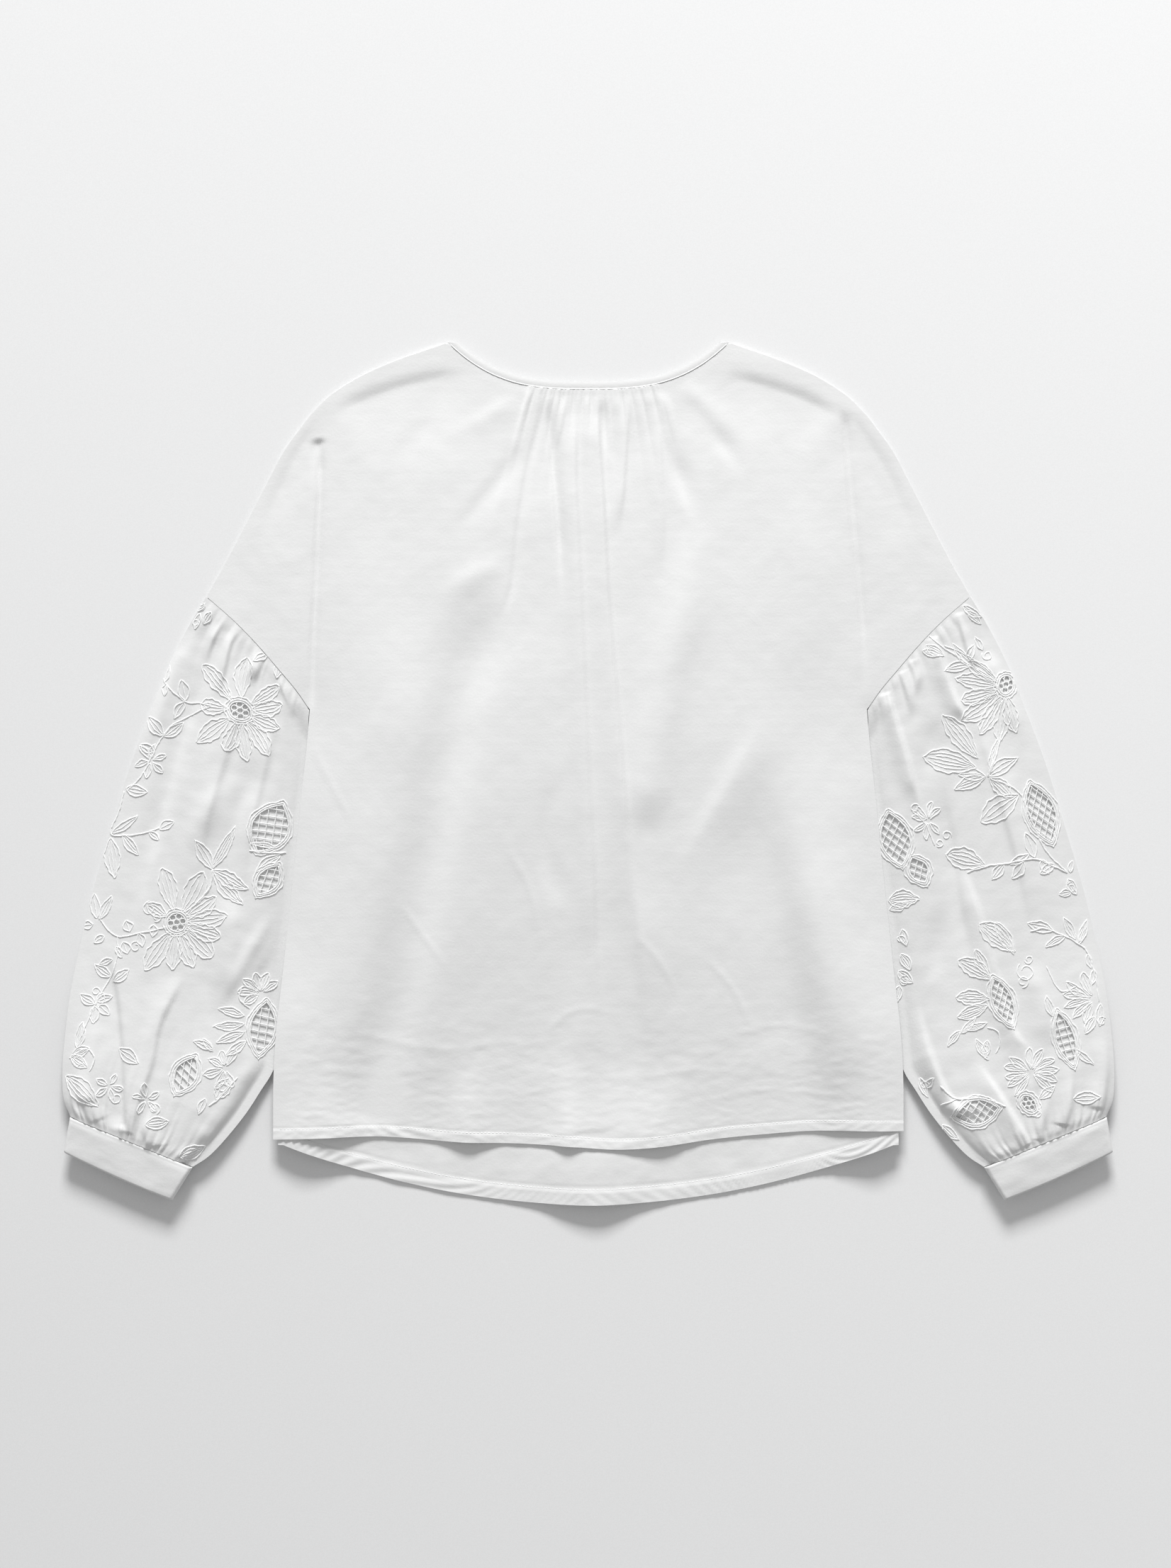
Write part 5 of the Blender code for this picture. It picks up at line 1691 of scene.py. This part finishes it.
@dataclass
class Sleeve:
    """A balloon sleeve: its two walls, needlework and cuff."""

    side: Side
    cloth: bpy.types.Material
    thread: bpy.types.Material
    motifs: Motifs
    columns: int = 104
    rows: int = 290
    back_columns: int = 60
    back_rows: int = 150
    gathers: int = 13
    cuff_gathers: int = 17
    head_height: float = 1.25
    foot_height: float = 2.2
    cuff_around: int = 120
    cuff_steps: int = 18
    cuff_wall: float = 1.1
    cuff_depth: float = 29.0
    cuff_bow: float = 1.6
    cuff_drop: float = 0.6
    cuff_seam: float = 0.5
    cuff_edge: float = 0.35

    def plan(self, across: Array, down: Array) -> Array:
        """Where a point of the right sleeve lies, from its outer to its inner edge and down.

        Args:
            across: shares of the way from the outer edge to the inner.
            down: shares of the way from the seam to the cuff.

        Returns:
            One x and y for each point.
        """
        shift, drop = np.array([SEAM_OFFSET, -SEAM_OFFSET]), np.array([-0.15, 0.36])
        seam = along(SEAM, across) + shift
        start, end = np.array(CUFF_TOP_OUT), np.array(CUFF_TOP_IN)
        cuff = start + (end - start) * across[:, None] + drop
        outer, inner = along(SLEEVE_OUTER, down), along(SLEEVE_INNER, down)
        a, d = across[:, None], down[:, None]
        ends = [along(SEAM, 0.0) + shift, along(SEAM, 1.0) + shift, start + drop, end + drop]
        corners = ((1 - a) * (1 - d) * ends[0] + a * (1 - d) * ends[1]
                   + (1 - a) * d * ends[2] + a * d * ends[3])
        return (1 - d) * seam + d * cuff + (1 - a) * outer + a * inner - corners

    def back_under(self, down: Array) -> Array:
        """Underside of the sleeve's back wall: on the table, then up to the cuff."""
        return CUFF_LIFT * smooth((down - 0.58) / 0.4)

    def front_top(self, across: Array, down: Array, x: Array, y: Array) -> Array:
        """Outer face of the sleeve's front wall, a long balloon gathered at both ends.

        Args:
            across: shares of the way from the outer edge to the inner.
            down: shares of the way from the seam to the cuff.
            x: points' x.
            y: points' y.

        Returns:
            Height above the table.
        """
        outer, inner = along(SLEEVE_OUTER, down), along(SLEEVE_INNER, down)
        width = np.linalg.norm(outer - inner, axis=-1)
        hidden = np.maximum(x_at(SIDE, inner[:, 1]) - x_at(SLEEVE_INNER, inner[:, 1]), 0.0)
        hidden = (hidden + TUCK_MARGIN) * smooth(down / 0.05)
        from_outer = across * width
        from_inner = np.maximum((1 - across) * width - hidden, 0.0)
        width = np.interp(down, *zip(*BALLOON_EDGE))
        share = np.clip(np.minimum(from_outer / width, from_inner / (0.55 * width)), 0.0, 1.0)
        balloon = np.interp(down, *zip(*BALLOON))
        seam = along(SEAM, across)
        room = panel_room(seam[:, 0], seam[:, 1])
        room = room + (balloon * share * (2.0 - share) - room) * smooth(down / 0.08)
        ridges = SLEEVE_FOLDS * sum(ridge_height(ridge, x, y) for ridge in SLEEVE_RIDGES[self.side])
        swell = SLEEVE_SWELL.at(across * 150.0, down * 95.0, self.side.value)
        swell += SLEEVE_CREASE.at(across * 150.0, down * 140.0, self.side.value)
        swell += SLEEVE_WRINKLE.at(x, y, self.side.value)
        soft = roll(np.minimum(from_outer, from_inner), SEAM_HOLD)
        ends = smooth(down / 0.03) * smooth((1 - down) / 0.03)
        head, foot = self.pinches(across, down, soft)
        slow = 0.2 + 0.8 * smooth(down / 0.055) * smooth((1 - down) / 0.05)
        return (self.back_under(down) + LAYER + CLOTH + room + (ridges * slow
                + swell * ends) * soft + head + foot)

    def pinches(self, across: Array, down: Array, soft: Array) -> tuple[Array, Array]:
        """The small gathers along the seam and along the cuff.

        Args:
            across: shares of the way from the outer edge to the inner.
            down: shares of the way from the seam to the cuff.
            soft: how free the cloth is of its edges, from 0 to 1.

        Returns:
            Heights of the seam's gathers and of the cuff's.
        """
        seed = 60 + self.side.value
        head_far, foot_far = down * SLEEVE_LENGTH, (1 - down) * SLEEVE_LENGTH
        fan = across + 0.012 * np.sin(down * 30.0)
        run = np.clip((fan - 0.04) / 0.92, 0, 1)
        inside = smooth(run / 0.02) * smooth((1 - run) / 0.02)
        head = gather_wave(run, head_far, self.gathers, seed, 14.0)
        head += 0.35 * gather_wave(run, head_far, self.gathers * 2, seed + 3, 6.0)
        head *= self.head_height * (0.35 + 0.65 * smooth(head_far / 9.0)) * inside
        foot = gather_wave(run, foot_far, self.cuff_gathers, seed + 5, 17.0)
        foot += 0.4 * gather_wave(run, foot_far, self.cuff_gathers * 2 + 1, seed + 9, 8.0)
        foot *= self.foot_height * (0.3 + 0.7 * smooth(foot_far / 10.0)) * inside
        return head * (0.3 + 0.7 * soft), foot * (0.25 + 0.75 * soft)

    def front_place(self, column: Array, row: Array) -> tuple[Array, Array, Array]:
        """Where the front wall's outer face lies, on this sleeve's side.

        Args:
            column: the points' column numbers.
            row: the points' row numbers.

        Returns:
            The points' x, y and z.
        """
        across, down = column / self.columns, self.down(row)
        plan = self.plan(across, down)
        x, y = plan[:, 0] * self.side.value, plan[:, 1]
        return x, y, self.front_top(across, down, x, y)

    def down(self, row: Array) -> Array:
        """Share of the way down the sleeve: rows stand closer at both ends."""
        share = row / self.rows
        return share + 0.055 * np.sin(2 * math.pi * (share - 0.5)) * 0.9

    def node(self, part: str) -> str:
        """Name of the solid that stands for a part of this sleeve."""
        return f"{part}_{self.side.word}"

    def cut(self, bm: bmesh.types.BMesh) -> None:
        """Cuts this sleeve's holes out of its front wall, with clean outlines.

        Args:
            bm: the front wall.
        """
        for opening in self.motifs.openings:
            verts = [vert for vert in bm.verts if abs(vert.co.x / MM - opening.x) < opening.length
                     and abs(vert.co.y / MM - opening.y) < opening.length]
            co = np.array([vert.co[:2] for vert in verts]) / MM
            u, v = to_hole(opening, co[:, 0], co[:, 1])
            inner = {vert for vert, value in zip(verts, outline_value(opening, u, v)) if value < 0}
            faces = {face for vert in inner for face in vert.link_faces
                     if all(corner in inner for corner in face.verts)}
            rim = {vert for face in faces for vert in face.verts}
            bmesh.ops.delete(bm, geom=list(faces), context="FACES")
            for vert in rim:
                if vert.is_valid and vert.is_boundary:
                    self.snap(vert, opening)

    def snap(self, vert: bmesh.types.BMVert, opening: Opening) -> None:
        """Moves a point of the hole's edge out to the outline.

        Args:
            vert: a point of the rim that the cut left.
            opening: the hole.
        """
        u, v = to_hole(opening, np.array(vert.co.x / MM), np.array(vert.co.y / MM))
        low, high = 1.0, 3.0
        for _ in range(12):
            middle = (low + high) / 2
            inside = outline_value(opening, u * middle, v * middle) < 0
            low, high = (middle, high) if inside else (low, middle)
        point = from_hole(opening, u * low, v * low)
        vert.co.x, vert.co.y = point[0] * MM, point[1] * MM

    def build_front(self) -> bpy.types.Object:
        """The front wall with its holes, and the needlework on it.

        Returns:
            The front wall; its threads are a piece of their own.
        """
        bm = index_grid(self.columns, self.rows)
        place_verts(bm, self.front_place)
        tree = BVHTree.FromBMesh(bm)
        work = Needlework(tree, 70 + self.side.value)
        for flower in self.motifs.flowers:
            work.flower(flower)
        for leaf in self.motifs.leaves:
            work.leaf(leaf)
        for stem in self.motifs.stems:
            line = spline(stem.points, np.linspace(0, len(stem.points) - 1, 40))
            work.stroke(line, stem.radius, 0.18)
        for x, y, size in self.motifs.curls:
            work.curl(x, y, size)
        for opening in self.motifs.openings:
            work.net(opening)
        roll_rim(bm, SLEEVE_RIM, self.is_cuff_seam)
        self.cut(bm)
        front = finish_sheet(f"sleeve_front_cloth_{self.side.word}", bm, self.cloth)
        node = self.node("sleeve_front")
        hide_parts(node)
        threads = work.build(f"embroidery_{self.side.word}", self.thread)
        return front

    def is_cuff_seam(self, x: float, y: float) -> bool:
        """Whether the sleeve's edge is sewn into the cuff here.

        Args:
            x: the edge point's x.
            y: the edge point's y.

        Returns:
            True where it is sewn.
        """
        start, end = np.array(CUFF_TOP_OUT), np.array(CUFF_TOP_IN)
        way = (end - start) / np.linalg.norm(end - start)
        offset = np.array([abs(x), y]) - start
        along_cuff = float(offset @ way)
        return abs(float(way[0] * offset[1] - way[1] * offset[0])) < 1.5 and 3 < along_cuff < 104

    def back_place(self, column: Array, row: Array) -> tuple[Array, Array, Array]:
        """Where the back wall's inner face lies: it comes up close behind the openings.

        Args:
            column: the points' column numbers.
            row: the points' row numbers.

        Returns:
            The points' x, y and z.
        """
        across, down = column / self.back_columns, row / self.back_rows
        plan = self.plan(across, down)
        x, y = plan[:, 0] * self.side.value, plan[:, 1]
        base = self.back_under(down) + CLOTH
        near = np.zeros_like(x)
        for hole in self.motifs.openings:
            u, v = to_hole(hole, x, y)
            far = np.hypot(u / (hole.length / 2 + 5.0), v / (hole.width / 2 + 5.0))
            near = np.maximum(near, 1.0 - smooth((far - 1.0) / 0.9))
        rise = np.maximum(self.front_top(across, down, x, y) - HOLE_DEPTH - base, 0.0)
        return x, y, base + rise * near

    def build_back(self) -> bpy.types.Object:
        """The back wall, flat on the table.

        Returns:
            The back wall.
        """
        bm = index_grid(self.back_columns, self.back_rows)
        place_verts(bm, self.back_place)
        roll_rim(bm, SLEEVE_BACK_RIM)
        back = finish_sheet(f"sleeve_back_cloth_{self.side.word}", bm, self.cloth)
        node = self.node("sleeve_back")
        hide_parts(node)
        return back

    def build_cuff(self) -> bpy.types.Object:
        """The cuff: a flattened tube of doubled cloth with soft edges and a stitched seam.

        Returns:
            The cuff.
        """
        bm = bmesh.new()
        made = bmesh.ops.create_circle(bm, segments=self.cuff_around, radius=1.0)["verts"]
        angles = [math.atan2(vert.co.y, vert.co.x) for vert in made]
        rings = [list(made)]
        for _ in range(self.cuff_steps):
            verts = rings[-1]
            inside = set(verts)
            edges = [edge for edge in bm.edges
                     if edge.verts[0] in inside and edge.verts[1] in inside]
            grown = bmesh.ops.extrude_edge_only(bm, edges=edges)["geom"]
            new = {vert for vert in grown if isinstance(vert, bmesh.types.BMVert)}
            rings.append([next(edge.other_vert(vert) for edge in vert.link_edges
                               if edge.other_vert(vert) in new) for vert in verts])
        for step, verts in enumerate(rings):
            points = self.cuff_ring(np.array(angles), step / self.cuff_steps)
            for vert, point in zip(verts, points):
                vert.co = point * MM
        bmesh.ops.recalc_face_normals(bm, faces=bm.faces)
        name = f"cuff_cloth_{self.side.word}"
        cuff = add_object(name, to_mesh(name, bm), self.cloth)
        wall = cuff.modifiers.new("doubled_cloth", "SOLIDIFY")
        wall.thickness = self.cuff_wall * MM
        wall.offset = -1.0
        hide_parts(self.node("cuff"))
        return cuff

    def cuff_ring(self, turn: Array, share: float) -> Array:
        """Points round the cuff at one share of its depth, from the sleeve to the open end.

        Args:
            turn: angles round the tube.
            share: share of the cuff's depth.

        Returns:
            The ring's x, y and z.
        """
        outer = np.array(CUFF_TOP_OUT) + (np.array(CUFF_END_OUT) - np.array(CUFF_TOP_OUT)) * share
        inner = np.array(CUFF_TOP_IN) + (np.array(CUFF_END_IN) - np.array(CUFF_TOP_IN)) * share
        half, high = np.linalg.norm(outer - inner) / 2, CUFF_HEIGHT / 2
        bend = 1.55 * np.arctan2(np.sin(turn), np.abs(np.cos(turn)))
        bend = np.clip(bend, -math.pi / 2, math.pi / 2)
        flat = (half - high) * np.minimum(1.0, 1.9 * np.abs(np.cos(turn)))
        aside = np.sign(np.cos(turn)) * (flat + high * np.cos(bend))
        end = (aside / half + 1) / 2
        plan = inner + (outer - inner) * end[:, None]
        bow = self.cuff_bow * (1 - (2 * end - 1) ** 2) * share
        x, y = plan[:, 0] * self.side.value, plan[:, 1] - bow
        z = CUFF_LIFT - 0.2 + high * (1 + np.sin(bend)) - self.cuff_drop * share
        upper = smooth((np.sin(bend) - 0.3) / 0.6)
        crease = CUFF_CREASE.at(x, y, self.side.value) + CUFF_WRINKLE.at(x, y)
        seam = -self.cuff_seam * math.exp(-((share * self.cuff_depth - 2.2) / 0.8) ** 2)
        edge = self.cuff_edge * math.exp(-((share - 1.0) / 0.06) ** 2)
        z = z + upper * (crease * min(1.0, share * 6) * 0.9 + seam - edge)
        return np.stack([x, y, z], -1)

    def build(self) -> list[bpy.types.Object]:
        """The whole sleeve: its back wall, front wall and cuff.

        Returns:
            Its back wall, front wall and cuff.
        """
        back, front, cuff = self.build_back(), self.build_front(), self.build_cuff()
        return [back, front, cuff]


@dataclass
class Neck:
    """The bound neck: a padded strip in front with a cord along its seam, a plain one behind."""

    cloth: bpy.types.Material
    thread: bpy.types.Material
    columns: int = 150
    rows: int = 10

    def strip(self, column: Array, row: Array, drop: float, under: Callable[[Array, Array], Array],
              puff: float) -> tuple[Array, Array, Array]:
        """Where a point of a binding lies, between the seam and the neck's edge.

        Args:
            column: the points' column numbers.
            row: the points' row numbers.
            drop: how far it lies below the neck's edge.
            under: height of what the binding is sewn to.
            puff: how far it is padded.

        Returns:
            The points' x, y and z.
        """
        low_x = (column / self.columns * 2 - 1) * NECK_HALF
        low = np.stack([low_x, neck_y(low_x) + SEAM_OFFSET * np.hypot(1.0, neck_slope(low_x))], -1)
        high_x = low_x * BINDING_HALF / NECK_HALF
        high_y = BINDING_LOW + BINDING_RISE * (np.abs(high_x) / BINDING_HALF) ** 3
        share = row / self.rows
        plan = low + (np.stack([high_x, high_y], -1) - low) * share[:, None]
        x, y = plan[:, 0], plan[:, 1] - drop
        padding = puff * np.sin(math.pi * (0.03 + 0.85 * share)) ** 0.8
        z = under(low_x, neck_y(low_x)) + CLOTH + padding
        return x, y, z

    def build(self) -> list[bpy.types.Object]:
        """Both bindings, and the cord of the front one.

        Returns:
            The two bindings and the cord.
        """
        made = []
        for name, node, drop, under, puff in (
                ("neck_band_front", "neck_binding_front", 0.0, front_under, 0.4),
                ("neck_band_back", "neck_binding_back", BACK_NECK_DROP, back_under, 0.2)):
            bm = index_grid(self.columns, self.rows)
            place_verts(bm, lambda c, r: self.strip(c, r, drop, under, puff))
            if node.endswith("front"):
                tree = BVHTree.FromBMesh(bm)
            roll_rim(bm, NECK_RIM)
            band = finish_sheet(name, bm, self.cloth)
            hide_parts(node)
            made.append(band)
        work = Needlework(tree, 81, step=1.6, lift=-0.04)
        x = np.linspace(-NECK_HALF + 1.2, NECK_HALF - 1.2, 200)
        slope = neck_slope(x)
        normal = np.stack([-slope * np.sign(x), np.ones_like(x)], -1)
        normal = normal / np.hypot(1.0, slope)[:, None]
        seam = np.stack([x, neck_y(x)], -1)
        work.stroke(seam + normal * 0.72, 0.48, 0.02)
        cord = work.build("neck_cord", self.thread, 2)
        made.append(cord)
        return made


@dataclass
class Stitching:
    """Rows of small machine stitches along the hems."""

    thread: bpy.types.Material
    pitch: float = 3.0
    stitch: float = 1.9
    radius: float = 0.22

    def row(self, name: str, cloth: bpy.types.Object, line: Array, slot: str) -> bpy.types.Object:
        """One row of stitches on the cloth, along a line of x and y.

        Args:
            name: the piece's name.
            cloth: the hemmed panel.
            line: x and y along the row.
            slot: not used.

        Returns:
            The piece.
        """
        bm = bmesh.new()
        bm.from_mesh(cloth.data)
        work = Needlework(BVHTree.FromBMesh(bm), 95, step=self.stitch / 2, lift=0.06)
        bm.free()
        run = run_of(line)
        for start in np.arange(1.0, run[-1] - self.pitch, self.pitch):
            at = np.array([start, start + self.stitch / 2, start + self.stitch])
            work.stroke(points_at(line, run, at), self.radius, 0.03)
        piece = work.build(name, self.thread)
        return piece


@dataclass
class Studio:
    """The board, the lights and the camera straight above."""

    centre_m: tuple[float, float] = (-0.0023, -0.0083)
    height_m: float = 2.5
    frame_height_m: float = 1.272
    sensor: float = 36.0
    lamp_place_m: tuple[float, float, float] = (-0.1, 6.5, 3.05)
    lamp_size_m: tuple[float, float] = (2.6, 1.6)
    lamp_power: float = 690.0
    fill: float = 0.42
    floor_half_m: float = 6.0
    floor_gap_m: float = 0.0003

    def build(self) -> None:
        """Makes the floor, the soft light from the neck's side, the fill and the camera."""
        bm = bmesh.new()
        bmesh.ops.create_grid(bm, x_segments=2, y_segments=2, size=self.floor_half_m)
        bmesh.ops.translate(bm, vec=(0, 0, -self.floor_gap_m), verts=bm.verts)
        mesh = to_mesh("floor", bm)
        mesh.materials.append(FloorFinish().build())
        floor = link("floor", mesh)

        world = bpy.data.worlds.new("studio")
        bpy.context.scene.world = world
        world.use_nodes = True
        back = world.node_tree.nodes["Background"]
        back.inputs["Color"].default_value = (1.0, 1.0, 1.0, 1.0)
        back.inputs["Strength"].default_value = self.fill

        light = bpy.data.lights.new("window", "AREA")
        light.shape = "RECTANGLE"
        light.size, light.size_y = self.lamp_size_m
        light.energy = self.lamp_power
        lamp = link("window", light)
        lamp.location = self.lamp_place_m
        lamp.rotation_mode = "QUATERNION"
        lamp.rotation_quaternion = (-Vector(self.lamp_place_m)).to_track_quat("-Z", "Y")
        lamp.visible_camera = False

        camera = bpy.data.cameras.new("camera")
        camera.sensor_width = self.sensor
        camera.lens = self.sensor / 2 * self.height_m / (self.frame_height_m / 2)
        eye = link("camera", camera)
        eye.location = (*self.centre_m, self.height_m)
        bpy.context.scene.camera = eye

        look = bpy.context.scene.view_settings
        look.view_transform = "Standard"
        look.look = "None"


def main() -> None:
    """Builds the blouse piece by piece."""
    logging.basicConfig(level=logging.INFO, format="%(message)s")
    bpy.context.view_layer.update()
    cloth = ClothFinish("white_cotton", (0.8, 0.802, 0.8)).build()
    fine = ClothFinish("fine_cotton", (0.775, 0.777, 0.775), crease_mm=16.0).build()
    thread = ThreadFinish("embroidery_cotton", (0.885, 0.887, 0.885)).build()
    Studio().build()
    front, back = Body(cloth).build()
    Neck(cloth, thread).build()
    for side, motifs in ((Side.LEFT, LEFT_MOTIFS), (Side.RIGHT, RIGHT_MOTIFS)):
        Sleeve(side, fine, thread, motifs).build()
    rows = Stitching(thread)
    for word, panel, half, hem_y, band in (
            ("front", front, FRONT_STITCHED, front_hem_y, FRONT_HEM_BAND),
            ("back", back, BACK_STITCHED, back_hem_y, BACK_HEM_BAND)):
        x = np.linspace(-half, half, 300)
        line = np.stack([x, hem_y(x) + band], -1)
        rows.row(f"{word}_hem_stitches", panel, line, f"{word}_panel")


if __name__ == "__main__":
    main()
